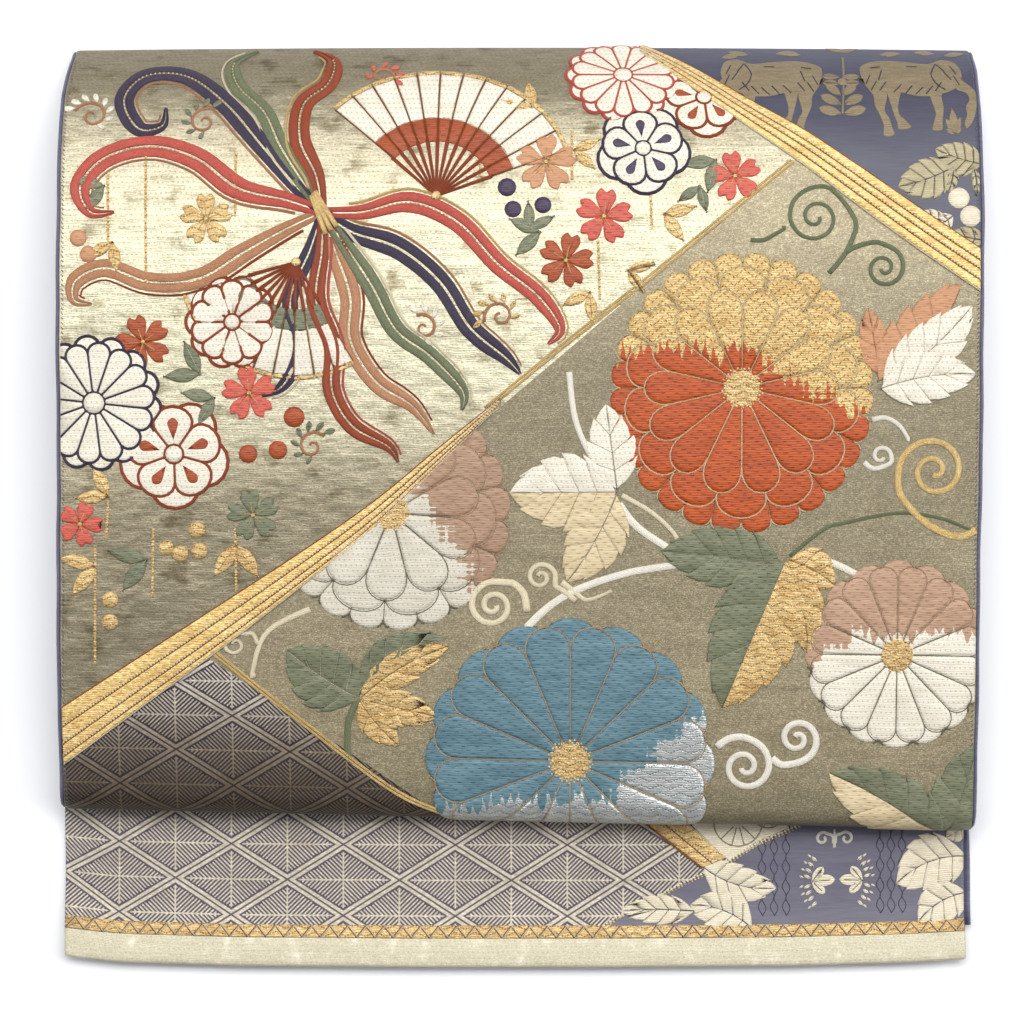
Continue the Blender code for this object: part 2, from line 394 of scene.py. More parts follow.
def close_tube(bm: BMesh, verts: Iterable[BMVert]) -> set[BMFace]:
    """Joins the seam of a grid that is rolled up, fills its ends and gives all its faces."""
    faces = faces_of(verts)
    bmesh.ops.remove_doubles(bm, verts=list(verts), dist=1e-4)
    faces = {face for face in faces if face.is_valid}
    rim = {edge for face in faces for edge in face.edges if edge.is_boundary}
    return faces | set(bmesh.ops.holes_fill(bm, edges=list(rim), sides=0)["faces"])


class Board:
    """The raised work of one piece: closed pads and cords made flat, then laid on a surface."""

    PAD, CORD = 0, 1
    RIM_SHARE, CROWN_SHARE, WIDEST_SHARE = 0.2, 1.25, 0.42

    def __init__(self) -> None:
        """Starts with nothing on it."""
        self.bm = bmesh.new()
        self.uv = self.bm.loops.layers.uv.new("cloth")

    def pad(
        self, outline: Array, height: float = 0.3, level: Level = LOW, crown: float = 0.12, edge: float = 0.7
    ) -> None:
        """Adds a pad of floats: a closed low form with a crowned top.

        Args:
            outline: its outline.
            height: how far its rim stands over its level.
            level: where it starts.
            crown: how far its middle stands over its rim.
            edge: how far in from the rim the crown is reached.
        """
        if (np.roll(outline, -1) * outline.conj()).imag.sum() < 0:
            outline = outline[::-1]
        count = len(outline)
        drum = {"cap_ends": True, "segments": count, "radius1": 1, "radius2": 1, "depth": 2}
        made = bmesh.ops.create_cone(self.bm, **drum)["verts"]
        by_angle = sorted(made, key=lambda v: (v.co.z, math.atan2(v.co.y, v.co.x)))
        top_height = level.value + height
        inward = self.inward(outline)
        inward *= np.minimum(self.CROWN_SHARE * edge, self.WIDEST_SHARE * self.room(outline, inward))
        rim = outline + self.RIM_SHARE * inward
        for i, vert in enumerate(by_angle):
            spot = rim[i % count] if i >= count else outline[i]
            vert.co = (spot.real, spot.imag, top_height if i >= count else -HIDDEN_RISE)
        faces = faces_of(made)
        top = max(faces, key=lambda f: f.calc_center_median().z)
        ring = bmesh.ops.inset_region(self.bm, faces=[top], thickness=0, depth=0)["faces"]
        for vert in top.verts:
            i = int(np.argmin(abs(rim - complex(vert.co.x, vert.co.y))))
            spot = outline[i] + inward[i]
            vert.co = (spot.real, spot.imag, top_height + crown)
        dress([*faces, *ring], self.PAD, self.uv, flat_place)

    @staticmethod
    def room(outline: Array, inward: Array) -> Array:
        """How far it is straight across the outline from each of its places."""
        along = np.roll(outline, -1) - outline
        apart = outline[None, :] - outline[:, None]
        turning = (inward[:, None].conj() * along).imag
        turning = np.where(abs(turning) < 1e-9, 1e-9, turning)
        across = (apart.conj() * along).imag / turning
        share = (apart.conj() * inward[:, None]).imag / turning
        return np.where((across > 1e-6) & (share >= 0) & (share <= 1), across, np.inf).min(axis=1)

    @staticmethod
    def inward(outline: Array) -> Array:
        """The unit step into the outline at each of its places."""
        along = np.roll(outline, -1) - np.roll(outline, 1)
        return 1j * along / np.maximum(abs(along), 1e-6)

    def cord(
        self, line: Array, width: Numbers, height: float = 0.3, level: Level = LOW, taper: float = 1.0
    ) -> None:
        """Adds a cord: a flattened tube along a line, with its own coordinates in its UV map.

        Args:
            line: the places that it follows.
            width: its width at its start, or at each place.
            height: how far it stands over its level.
            level: where it starts.
            taper: its width at its end, as a share of that at its start.
        """
        line = np.asarray(line)
        side = 1j * np.gradient(line)
        side /= np.maximum(abs(side), 1e-6)
        along = distances(line)
        half = width / 2 * np.interp(along / max(along[-1], 1e-6), [0, 1], [1, taper])
        across = (-1.0, -0.72, 0.0, 0.72, 1.0, 0.0, -1.0)
        top = level.value + height
        heights = (-HIDDEN_RISE, top * 0.8, top, top * 0.8, -HIDDEN_RISE, -HIDDEN_RISE, -HIDDEN_RISE)
        made = add_grid(self.bm, len(line), len(across))
        spots = {}
        for vert, (i, j) in made.items():
            spot = line[i] + side[i] * half[i] * across[j]
            spots[vert] = (along[i] * MM, j / 6 * 0.01)
            vert.co = (spot.real, spot.imag, heights[j])
        dress(faces_of(made), self.CORD, self.uv, spots.get)
        for face in close_tube(self.bm, made):
            face.material_index = self.CORD

    def dot(
        self, centre: complex, radius: float, height: float = 0.3, level: Level = LOW, sides: int = 12
    ) -> None:
        """Adds a round pad."""
        self.pad(
            arc(centre, radius, 0, 360 - 360 / sides, sides - 1), height, level, radius * 0.12, radius * 0.4
        )

    def dots(
        self, line: Array, spacing: float, radius: float, level: Level = LOW, height: float = 0.18
    ) -> None:
        """Adds small round stitches all along a line."""
        along = distances(line)
        for s in np.arange(spacing / 2, along[-1], spacing):
            self.dot(picked(s, along, line), radius, height, level, 6)

    def lay(self, name: str, surface: Surface, finishes: Sequence["Finish"]) -> Object:
        """Trims the work at the cloth's edges, cuts it to follow the folds and lays it on a surface.

        Args:
            name: the piece's name.
            surface: what it lies on.
            finishes: the pads' finish and the cords'.

        Returns:
            The piece.
        """
        bm = self.bm
        for side in (-1, 1):
            cut_across(bm, Vector((side * TRIM_HALF_WIDTH, 0, 0)), Vector((side, 0, 0)), True)
        bmesh.ops.holes_fill(bm, edges=[e for e in bm.edges if e.is_boundary], sides=0)
        reach = [v.co for v in bm.verts]
        low, high = min(c.y for c in reach), max(c.y for c in reach)
        for v in surface.rows(16, 14):
            if low < v < high:
                cut_across(bm, Vector((0, v, 0)), Vector((0, 1, 0)))
        left, right = min(c.x for c in reach), max(c.x for c in reach)
        for u in np.arange(math.ceil(left / 12) * 12, right, 12):
            cut_across(bm, Vector((u, 0, 0)), Vector((1, 0, 0)))
        bmesh.ops.triangulate(bm, faces=[f for f in bm.faces if len(f.verts) > 4])
        face_outward(bm)
        return laid_piece(name, bm, surface, finishes)


def cut_along(bm: BMesh, start: complex, end: complex, clear: bool = False) -> None:
    """Cuts flat work along a line, and drops what is to the left of it if clear."""
    left = 1j * (end - start)
    cut_across(bm, Vector((start.real, start.imag, 0)), Vector((left.real, left.imag, 0)).normalized(), clear)


def cut_across(bm: BMesh, place: Vector, facing: Vector, clear: bool = False) -> None:
    """Cuts every face by a plane, and drops what is in front of it if clear."""
    geometry = [*bm.verts, *bm.edges, *bm.faces]
    bmesh.ops.bisect_plane(bm, geom=geometry, dist=1e-4, plane_co=place, plane_no=facing, clear_outer=clear)


def face_outward(bm: BMesh) -> None:
    """Turns every closed part of flat work so that its faces look outward."""
    bmesh.ops.recalc_face_normals(bm, faces=bm.faces)
    left = set(bm.faces)
    inside_out = []
    while left:
        front = [left.pop()]
        part = list(front)
        while front:
            near = {other for edge in front.pop().edges for other in edge.link_faces} & left
            left -= near
            front.extend(near)
            part.extend(near)
        if sum(face.normal.z * face.calc_center_median().z * face.calc_area() for face in part) < 0:
            inside_out.extend(part)
    bmesh.ops.reverse_faces(bm, faces=inside_out)


def added(name: str, data: ID) -> Object:
    """A new object with that data, in the scene."""
    made = bpy.data.objects.new(name, data)
    bpy.context.scene.collection.objects.link(made)
    return made


def laid_piece(name: str, bm: BMesh, surface: Optional[Surface], finishes: Sequence["Finish"]) -> Object:
    """Makes an object of a mesh, laid on a surface if one is given.

    Args:
        name: the object's name.
        bm: the mesh, in flat millimetres, or in metres if there is no surface. It is freed.
        surface: what it lies on.
        finishes: its finishes, in the order of their indices.

    Returns:
        The object, which rides on the sash.
    """
    mesh = bpy.data.meshes.new(name)
    bm.to_mesh(mesh)
    bm.free()
    if surface:
        flat = np.empty(len(mesh.vertices) * 3)
        mesh.vertices.foreach_get("co", flat)
        mesh.vertices.foreach_set("co", surface.lay(flat.reshape(-1, 3)).ravel())
    for finish in finishes:
        mesh.materials.append(finish.material())
    mesh.update()
    piece = added(name, mesh)
    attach(piece, BODY)
    log.info("%s: %d faces", name, len(mesh.polygons))
    return piece


class Field:
    """A value that changes over the surface, worked out by nodes but written as arithmetic."""

    def __init__(self, nodes: "Nodes", socket: NodeSocket) -> None:
        """Keeps the socket that gives the value."""
        self.nodes = nodes
        self.socket = socket

    def math(self, operation: str, *others: Amount) -> "Field":
        """This value put through one Math node, with the others as its further inputs."""
        node = self.nodes.add("ShaderNodeMath", dict(enumerate((self, *others))), operation=operation)
        return Field(self.nodes, node.outputs[0])

    def __add__(self, other: Amount) -> "Field":
        """The sum."""
        return self.math("ADD", other)

    def __sub__(self, other: Amount) -> "Field":
        """The difference."""
        return self.math("SUBTRACT", other)

    def __rsub__(self, other: float) -> "Field":
        """What is left of a plain value after taking this one from it."""
        return self * -1 + other

    def __mul__(self, other: Amount) -> "Field":
        """The product."""
        return self.math("MULTIPLY", other)

    def __truediv__(self, other: Amount) -> "Field":
        """The quotient."""
        return self.math("DIVIDE", other)

    def floor(self) -> "Field":
        """The whole number below it."""
        return self.math("FLOOR")

    def rest(self) -> "Field":
        """What is left over that whole number, from 0 to 1."""
        return self - self.floor()

    def size(self) -> "Field":
        """Its value without its sign."""
        return self.math("ABSOLUTE")

    def ramp(self, low: float, high: float) -> "Field":
        """0 at low, 1 at high, whichever is larger, and a smooth ramp between them."""
        ends = {
            "From Min": min(low, high), "From Max": max(low, high),
            "To Min": high <= low, "To Max": high > low,
        }
        node = self.nodes.add("ShaderNodeMapRange", {"Value": self, **ends}, interpolation_type="SMOOTHSTEP")
        return Field(self.nodes, node.outputs[0])


class Nodes:
    """Adds nodes to one tree and links them."""

    def __init__(self, tree: NodeTree) -> None:
        """Works on that tree."""
        self.tree = tree

    def put(self, socket: NodeSocket, value: object) -> None:
        """Links a field or a socket to an input, or sets the input to a plain value."""
        if isinstance(value, Field):
            value = value.socket
        if isinstance(value, NodeSocket):
            self.tree.links.new(value, socket)
        else:
            socket.default_value = value

    def add(self, kind: str, values: Optional[dict] = None, **settings: object) -> Node:
        """Adds a node.

        Args:
            kind: its Blender type.
            values: what its inputs are linked or set to, by name or index.
            settings: its own settings.

        Returns:
            The node.
        """
        node = self.tree.nodes.new(kind)
        for name, setting in settings.items():
            setattr(node, name, setting)
        for name, value in (values or {}).items():
            self.put(node.inputs[name], value)
        return node

    def field(self, node: Node, output: Union[str, int]) -> Field:
        """The node's output of that name or index, as a field."""
        return Field(self, node.outputs[output])

    def noise(self, x: Amount, y: Amount, detail: float = 1.0) -> Field:
        """Smooth noise about 0, mostly from -1 to 1, that changes once or so for each step of x or y."""
        spot = self.add("ShaderNodeCombineXYZ", {"X": x, "Y": y})
        node = self.add("ShaderNodeTexNoise", {"Vector": spot.outputs[0], "Scale": 1.0, "Detail": detail})
        return (Field(self, node.outputs[0]) - 0.5) * 3.2

    def profile(self, value: Field, knots: Sequence[tuple[float, float]]) -> Field:
        """A smooth curve through knots of a value and its result, in order of the value."""
        low, high = knots[0][0], knots[-1][0]
        node = self.add("ShaderNodeValToRGB", {"Fac": (value - low) / (high - low)})
        node.color_ramp.interpolation = "CARDINAL"
        stops = node.color_ramp.elements
        for place, _ in knots[1:-1]:
            stops.new((place - low) / (high - low))
        for stop, (_, result) in zip(stops, knots):
            stop.color = (result, result, result, 1.0)
        return Field(self, node.outputs[0])

    def chance(self, x: Amount, y: Amount) -> Field:
        """A number from 0 to 1 that differs for each pair of whole numbers."""
        spot = self.add("ShaderNodeCombineXYZ", {"X": x, "Y": y})
        return Field(self, self.add("ShaderNodeTexWhiteNoise", {"Vector": spot.outputs[0]}).outputs["Value"])

    def mixed(self, share: Field, first: object, second: object) -> NodeSocket:
        """A colour between two, the second where share is 1."""
        return self.add("ShaderNodeMix", {0: share, 6: first, 7: second}, data_type="RGBA").outputs[2]

    def lit(self, colour: object, strength: Field, warmth: float = 0.0) -> NodeSocket:
        """The colour made lighter or darker by a factor, and warmer as it darkens."""
        red, blue = ((strength.math("POWER", 1 + lean) if lean else strength) for lean in (-warmth, warmth))
        grey = self.add("ShaderNodeCombineColor", {"Red": red, "Green": strength, "Blue": blue})
        values = {0: 1.0, 6: colour, 7: grey.outputs[0]}
        return self.add("ShaderNodeMix", values, data_type="RGBA", blend_type="MULTIPLY").outputs[2]

    def effect(self, tree: NodeTree, **values: object) -> dict[str, Field]:
        """Places a node group, with its inputs linked or set by name, and gives its outputs."""
        node = self.add("ShaderNodeGroup", values, node_tree=tree)
        return {socket.name: Field(self, socket) for socket in node.outputs}


class Effects:
    """The node groups that the finishes share."""

    def __init__(self) -> None:
        """Builds each of them once."""
        self.floats = self.build_floats()
        self.binding = self.build_binding()
        self.glints = self.build_glints()
        self.lattice = self.build_lattice()
        self.ragged = self.build_ragged()

    def place(self, nodes: Nodes) -> tuple[Field, Field]:
        """Adds the nodes of where a point is on the cloth: across it and up it."""
        floats = nodes.effect(self.floats, Pitch=1.0, Length=5.0, Wander=0.0)
        return floats["Across"], floats["Up"]

    @staticmethod
    def start(
        name: str, inputs: Sequence[str], outputs: Sequence[str]
    ) -> tuple[Nodes, dict[str, Field], Node]:
        """Starts a node group.

        Args:
            name: its name.
            inputs: the names of its number inputs.
            outputs: the names of its number outputs.

        Returns:
            Its nodes, its inputs as fields and its output node.
        """
        tree = bpy.data.node_groups.new(name, "ShaderNodeTree")
        for direction, names in (("INPUT", inputs), ("OUTPUT", outputs)):
            for label in names:
                tree.interface.new_socket(label, in_out=direction, socket_type="NodeSocketFloat")
        nodes = Nodes(tree)
        entry = nodes.add("NodeGroupInput")
        return nodes, {label: nodes.field(entry, label) for label in inputs}, nodes.add("NodeGroupOutput")

    def build_floats(self) -> NodeTree:
        """Weft rows: where a point is on the cloth, its row's height there and how light its thread is."""
        nodes, given, out = self.start(
            "weft_floats", ("Pitch", "Length", "Wander"), ("Across", "Up", "Height", "Tone")
        )
        uv = nodes.add("ShaderNodeUVMap", uv_map="cloth")
        split = nodes.add("ShaderNodeSeparateXYZ", {"Vector": uv.outputs[0]})
        across, up = nodes.field(split, "X") / MM, nodes.field(split, "Y") / MM
        rows = (up + nodes.noise(across * 0.11, up * 0.2) * given["Wander"]) / given["Pitch"]
        fine = nodes.noise(across / given["Length"], rows.floor() * 1.37)
        broad = nodes.noise(across * 0.05, up * 0.16, 2.0)
        tone = (fine * 0.32 + broad * 0.2 + 0.5).ramp(0.0, 1.0)
        fields = {"Across": across, "Up": up, "Height": (rows.rest() * math.pi).math("SINE"), "Tone": tone}
        for name, value in fields.items():
            nodes.put(out.inputs[name], value)
        return nodes.tree

    def build_binding(self) -> NodeTree:
        """Binding points: small marks in staggered rows, along straight or zigzag lines."""
        names = ("Across", "Up", "Width", "Height", "Lean", "Size", "Stretch", "Fold")
        nodes, given, out = self.start("binding_points", names, ("Mask",))
        folded = given["Across"].math("PINGPONG", 3.4) * given["Fold"]
        lines = (given["Up"] + folded) / given["Height"]
        marks = given["Across"] / given["Width"] + lines.floor() * given["Lean"]
        x = (marks.rest() - 0.5) * given["Width"] / given["Stretch"]
        y = (lines.rest() - 0.5) * given["Height"]
        distance = (x * x + y * y).math("SQRT") / given["Size"]
        nodes.put(out.inputs["Mask"], distance.ramp(1.25, 0.75))
        return nodes.tree

    def build_glints(self) -> NodeTree:
        """Painted glints: each short stretch of a metal thread gets its own brightness, as if it caught the
        light differently.
        """
        nodes, given, out = self.start("metal_glints", ("Across", "Up", "Size"), ("Glint",))
        rows = given["Up"] / given["Size"] * 1.5
        across = given["Across"] / given["Size"] + rows.floor() * 0.5
        nodes.put(out.inputs["Glint"], nodes.chance(across.floor(), rows.floor()))
        return nodes.tree

    def build_lattice(self) -> NodeTree:
        """Pine-bark diamonds: doubled lattice lines, and in each diamond two midribs with slanting barbs."""
        nodes, given, out = self.start(
            "diamond_lattice", ("Across", "Up", "Width", "Height", "Barb"), ("Mask",)
        )
        p, q = given["Across"] / given["Width"], given["Up"] / given["Height"]
        a, b = (p + q).rest() - 0.5, (p - q).rest() - 0.5
        edge = (a.size().math("MAXIMUM", b.size()) * -1 + 0.5) * (given["Height"] * 0.84)
        x, y = ((a + b) / 2 * given["Width"]).size(), ((a - b) / 2 * given["Height"]).size()
        doubled = edge.ramp(0.16, 0.4).math("MINIMUM", edge.ramp(1.5, 1.25))
        barbs = (((x - y) / given["Barb"]).rest() - 0.5).size().ramp(0.29, 0.17)
        ribs = x.math("MINIMUM", y).ramp(0.36, 0.18)
        inside = (edge + nodes.chance((x - y).floor(), 2.0) * 0.5).ramp(2.1, 2.4)
        nodes.put(out.inputs["Mask"], doubled.math("MAXIMUM", inside * barbs.math("MAXIMUM", ribs)))
        return nodes.tree

    def build_ragged(self) -> NodeTree:
        """Ragged shifts along and across the rows, in steps and spikes, for where two dyes meet."""
        nodes, given, out = self.start("ragged_edge", ("Across", "Up", "Reach"), ("Shift", "Rise"))
        for name, along, other, step in (
            ("Shift", given["Up"], given["Across"], 2.1), ("Rise", given["Across"], given["Up"], 3.1)
        ):
            cell, fine = (along / step).floor(), (along / 0.8).floor()
            spike = 0.5 - ((along / step).rest() - 0.5).size() * 1.6
            jag = nodes.chance(cell, 3.0) - 0.5 + spike * (nodes.chance(cell, 8.0) * 0.9 + 0.2)
            jag = jag + (nodes.chance(fine, 5.0) - 0.5) * 0.3
            nodes.put(
                out.inputs[name], (jag + nodes.noise(along * 0.09, other * 0.02) * 0.5) * given["Reach"]
            )
        return nodes.tree


class Bind(Enum):
    """How a thread's floats are bound down: width, height, lean, size, stretch and fold of the marks."""

    NONE = None
    SLANT = (4.6, 1.25, 0.37, 0.2, 4.0, 0.0)
    POINTS = (1.7, 1.9, 0.31, 0.27, 1.0, 0.0)
    LINES = (0.95, 2.5, 0.5, 0.3, 1.2, 0.42)
    CHEVRON = (1.25, 2.7, 0.5, 0.3, 1.3, 0.85)
    TWILL = (1.1, 0.62, 0.4, 0.2, 2.0, 0.0)


class Look(NamedTuple):
    """What a thread gives the shader."""

    colour: object
    metal: object
    rough: object
    height: object


@dataclass(frozen=True)
class Thread:
    """One thread as it looks in the cloth, its lengths in millimetres."""

    colour: str
    dark: str
    metal: float = 0.0
    rough: float = 0.55
    pitch: float = 0.8
    length: float = 7.0
    rib: float = 0.6
    bind: Bind = Bind.NONE
    bound: float = 0.6
    glint: float = 0.0
    grain: float = 0.55

    def look(self, nodes: Nodes, effects: Effects) -> Look:
        """Adds the thread's nodes.

        Args:
            nodes: the material's nodes.
            effects: the shared groups.

        Returns:
            Its colour, metallic value, roughness and height.
        """
        floats = nodes.effect(effects.floats, Pitch=self.pitch, Length=self.length, Wander=0.5)
        across, up = floats["Across"], floats["Up"]
        tone, height = floats["Tone"], floats["Height"] * self.rib
        colour = nodes.mixed(tone, linear(self.dark), linear(self.colour))
        # Painted shade of the weft rows: the colour is lighter on each row's crest and darker in the groove
        # between rows, on top of the bump.
        strength = floats["Height"] * 0.16 * self.rib + (1 - 0.1 * self.rib)
        # Painted glints: each stretch of metal thread is made brighter or darker in the colour, and raised a
        # little in the bump.
        if self.glint:
            glint = nodes.effect(effects.glints, Across=across, Up=up, Size=self.grain)["Glint"]
            strength = strength + (glint.math("POWER", 3.0) - 0.25) * self.glint
            height = height + glint * self.glint * 0.5
        if self.bind.value:
            width, tall, lean, size, stretch, fold = self.bind.value
            values = dict(Across=across, Up=up, Width=width, Height=tall, Lean=lean)
            mask = nodes.effect(effects.binding, Size=size, Stretch=stretch, Fold=fold, **values)["Mask"]
            strength = strength * (mask * (self.bound - 1) + 1)
            height = height - mask * 0.8
        return Look(nodes.lit(colour, strength), self.metal, self.rough, height)


def linear(colour: str) -> tuple[float, float, float, float]:
    """The scene-linear colour of six hex digits."""
    shares = (int(colour[i : i + 2], 16) / 255 for i in (0, 2, 4))
    return (*(s / 12.92 if s <= 0.04045 else ((s + 0.055) / 1.055) ** 2.4 for s in shares), 1.0)


@dataclass(frozen=True)
class Split:
    """Where a second dye takes over: to the left of either line from one place to another."""

    lines: tuple[tuple[complex, complex], ...]
    reach: float = 4.0

    def mask(self, nodes: Nodes, effects: Effects) -> Field:
        """Adds the nodes of a mask that is 1 in the second dye."""
        across, up = effects.place(nodes)
        ragged = nodes.effect(effects.ragged, Across=across, Up=up, Reach=self.reach)
        shift, rise = ragged["Shift"], ragged["Rise"]
        inside = None
        for start, end in self.lines:
            left = 1j * (end - start) / abs(end - start)
            offset = (start * left.conjugate()).real
            distance = (across + shift) * left.real + (up + rise) * left.imag - offset
            inside = distance if inside is None else inside.math("MAXIMUM", distance)
        return inside.ramp(-0.12, 0.12)


@dataclass(frozen=True)
class Lattice:
    """The diamond lattice, from one of its nodes, in millimetres."""

    node: complex
    width: float = 38.3
    height: float = 24.4
    barb: float = 1.55

    def mask(self, nodes: Nodes, effects: Effects) -> Field:
        """Adds the nodes of a mask that is 1 on the lattice's lines and barbs."""
        across, up = effects.place(nodes)
        across, up = across - self.node.real, up - self.node.imag
        sizes = dict(Width=self.width, Height=self.height, Barb=self.barb)
        return nodes.effect(effects.lattice, Across=across, Up=up, **sizes)["Mask"]


@dataclass(frozen=True)
class Patches:
    """Soft uneven patches, wider than high, such as light and dark stretches of lame."""

    size: float
    amount: float
    stretch: float = 2.4
    streak: float = 0.4

    def mask(self, nodes: Nodes, effects: Effects) -> Field:
        """Adds the nodes of a mask that is 1 in the patches."""
        across, up = effects.place(nodes)
        broad = nodes.noise(across / (self.size * self.stretch), up / self.size, 3.0)
        streak = nodes.noise(across / (self.size * 1.6), up / 0.7, 0.0)
        return (broad + streak * self.streak).ramp(0.9 - 1.6 * self.amount, 1.6 - 1.6 * self.amount)


@dataclass(frozen=True)
class Finish:
    """A material: one thread, or two threads and where the second shows, and any light and shade painted into
    its colour along the cloth.
    """

    name: str
    thread: Thread
    second: Optional[Thread] = None
    pattern: Union[Split, Lattice, Patches, None] = None
    relief: float = 0.12
    sheen: float = 0.0
    crumple: float = 0.0
    # shade: knots of place up the cloth and a brightness factor, painted into the colour as light and shade
    # that stand in for how the folds are lit; warmth makes that painted shade warmer as it darkens.
    shade: tuple[tuple[float, float], ...] = ()
    warmth: float = 0.0

    def material(self) -> Material:
        """The material, made the first time that it is asked for."""
        made = bpy.data.materials.get(self.name)
        if made:
            return made
        made = bpy.data.materials.new(self.name)
        made.use_nodes = True
        nodes = Nodes(made.node_tree)
        shader = made.node_tree.nodes["Principled BSDF"]
        look = self.thread.look(nodes, EFFECTS)
        if self.second:
            mask = self.pattern.mask(nodes, EFFECTS)
            other = self.second.look(nodes, EFFECTS)
            pairs = ((look.metal, other.metal), (look.rough, other.rough), (look.height, other.height))
            between = (self.between(nodes, mask, *pair) for pair in pairs)
            look = Look(nodes.mixed(mask, look.colour, other.colour), *between)
        across, up = EFFECTS.place(nodes)
        if self.crumple:
            crumple = nodes.noise(across * 0.13, up * 0.19, 2.0) * (self.crumple / self.relief)
            look = look._replace(height=look.height + crumple)
        # Painted light and shade: the colour is made lighter or darker along the cloth's length.
        if self.shade:
            look = look._replace(colour=nodes.lit(look.colour, nodes.profile(up, self.shade), self.warmth))
        bump = nodes.add(
            "ShaderNodeBump", {"Height": look.height, "Distance": self.relief * MM, "Strength": 0.8}
        )
        values = {"Base Color": look.colour, "Metallic": look.metal, "Roughness": look.rough}
        for name, value in {**values, "Normal": bump.outputs[0]}.items():
            nodes.put(shader.inputs[name], value)
        shader.inputs["Sheen Weight"].default_value = self.sheen
        shader.inputs["Sheen Roughness"].default_value = 0.4
        return made

    @staticmethod
    def between(nodes: Nodes, share: Field, first: object, second: object) -> object:
        """A value between two, the second where share is 1."""
        if not isinstance(first, Field) and first == second:
            return first
        return nodes.field(nodes.add("ShaderNodeMix", {"Factor": share, "A": first, "B": second}), 0)


EFFECTS = Effects()

SILK = dict(rough=0.5, pitch=0.8, length=6.0, rib=0.7)
METAL = dict(metal=0.25, rough=0.45, glint=0.5, pitch=0.8, length=3.0, rib=0.8)
MATTE = dict(metal=0.2, rough=0.5, pitch=0.7, length=5.0, rib=0.7, glint=0.15)
TWIST = dict(pitch=0.7, length=1.1, rib=0.7, bind=Bind.TWILL, bound=0.84)


def silk(colour: str, dark: str, bound: float, bind: Bind = Bind.SLANT) -> Thread:
    """A soft silk thread, laid in floats that are bound down."""
    return Thread(colour, dark, **SILK, bind=bind, bound=bound)


def twist(colour: str, dark: str, **more: float) -> Thread:
    """A couched twisted thread."""
    return Thread(colour, dark, **more, **TWIST)


OLIVE_THREAD = Thread(
    "b4a888", "8f8367", metal=0.15, rough=0.45, pitch=0.62, length=2.0, rib=0.5, glint=0.75, grain=0.42
)
LAME_THREAD = Thread(
    "d4ceb4", "bab397", metal=0.5, rough=0.4, pitch=0.55, length=9.0, rib=0.7, glint=0.3, grain=0.6,
    bind=Bind.POINTS, bound=0.75,
)
DULL_LAME = Thread(
    "a59c7b", "7d7458", metal=0.5, rough=0.42, pitch=0.55, length=7.0, rib=0.7, glint=0.35, grain=0.6,
    bind=Bind.POINTS, bound=0.7,
)
# A darker copy of the tail's slate satin, for the drum: painted shade.
SHADED_SLATE_THREAD = Thread("49495a", "3e3e4e", rough=0.45, pitch=0.55, length=12.0, rib=0.3)
SLATE_THREAD = Thread("666471", "555363", rough=0.45, pitch=0.55, length=12.0, rib=0.3)
LILAC_THREAD = Thread("4b4257", "393045", rough=0.55, pitch=0.6, length=3.0, rib=0.5)
# A darker copy of the lilac lattice ground, for the drum: painted shade.
SHADED_LILAC_THREAD = Thread("342d3d", "261f2e", rough=0.55, pitch=0.6, length=3.0, rib=0.5)
PALE_THREAD = Thread("d0c6b1", "aaa08a", metal=0.15, rough=0.45, pitch=0.6, length=2.0, rib=0.6, glint=0.4)
FOIL_THREAD = Thread("e0d8ca", "b8ae9c", metal=0.3, rough=0.4, pitch=0.6, length=2.0, rib=0.5, glint=0.45)


class Yarn(Enum):
    """The threads that raised work is made of: the piece's name, a pad's thread and a cord's thread."""

    WHITE = ("white_silk", silk("e7e1d2", "cfc7b3", 0.7, Bind.POINTS), twist("f6f1e4", "e0d9c8"))
    CREAM = ("cream_silk", silk("dccba6", "b9a47d", 0.66), twist("f2e6c8", "d8caa8"))
    GREEN = ("green_silk", silk("7f8165", "585e47", 0.6), twist("7a815d", "5b6248"))
    GOLD = (
        "gold_thread", Thread("e0c58d", "b28a4c", **METAL, bind=Bind.LINES, bound=0.45),
        twist("ecd093", "c39d58", metal=0.2, rough=0.42, glint=0.5),
    )
    BAND = (
        "band_gold", Thread("f6d896", "c9a057", **METAL, bind=Bind.SLANT, bound=0.6),
        twist("a4672c", "7a481c"),
    )
    CORAL = ("coral_silk", silk("cf634f", "b0453a", 0.68), twist("c95b4c", "a94237"))
    RUST = ("rust_silk", silk("a84c1c", "853614", 0.7), twist("9e421a", "7f3415"))
    PEACH = ("peach_silk", silk("c6926c", "ad7a55", 0.82), twist("c28c67", "a26f4c"))
    NAVY = ("navy_silk", silk("463753", "31253c", 0.82), twist("3f324a", "2b2135"))
    BEIGE = ("beige_thread", Thread("8b7c62", "75674d", **MATTE), twist("403e50", "353446"))
    IVORY = (
        "ivory_thread",
        Thread("dcd3bf", "c9bda0", metal=0.15, rough=0.5, pitch=0.7, length=4.0, rib=0.8, glint=0.15),
        twist("5c5a73", "4c4b64"),
    )
    SAND = ("sand_thread", Thread("b5ab8a", "9c9171", **MATTE), twist("57556a", "4a485b"))
    VEIN = ("vein_thread", Thread("8d8a74", "6c6a58", **SILK), twist("b7b096", "938c74"))

    def finishes(self) -> tuple[Finish, Finish]:
        """The finishes of its pads and of its cords."""
        name, pad, cord = self.value
        return Finish(name + "_floats", pad, sheen=0.05), Finish(name + "_cord", cord, relief=0.15)


WHITE, CREAM, GREEN, GOLD, BAND, CORAL, RUST, PEACH, NAVY, BEIGE, IVORY, SAND, VEIN = Yarn


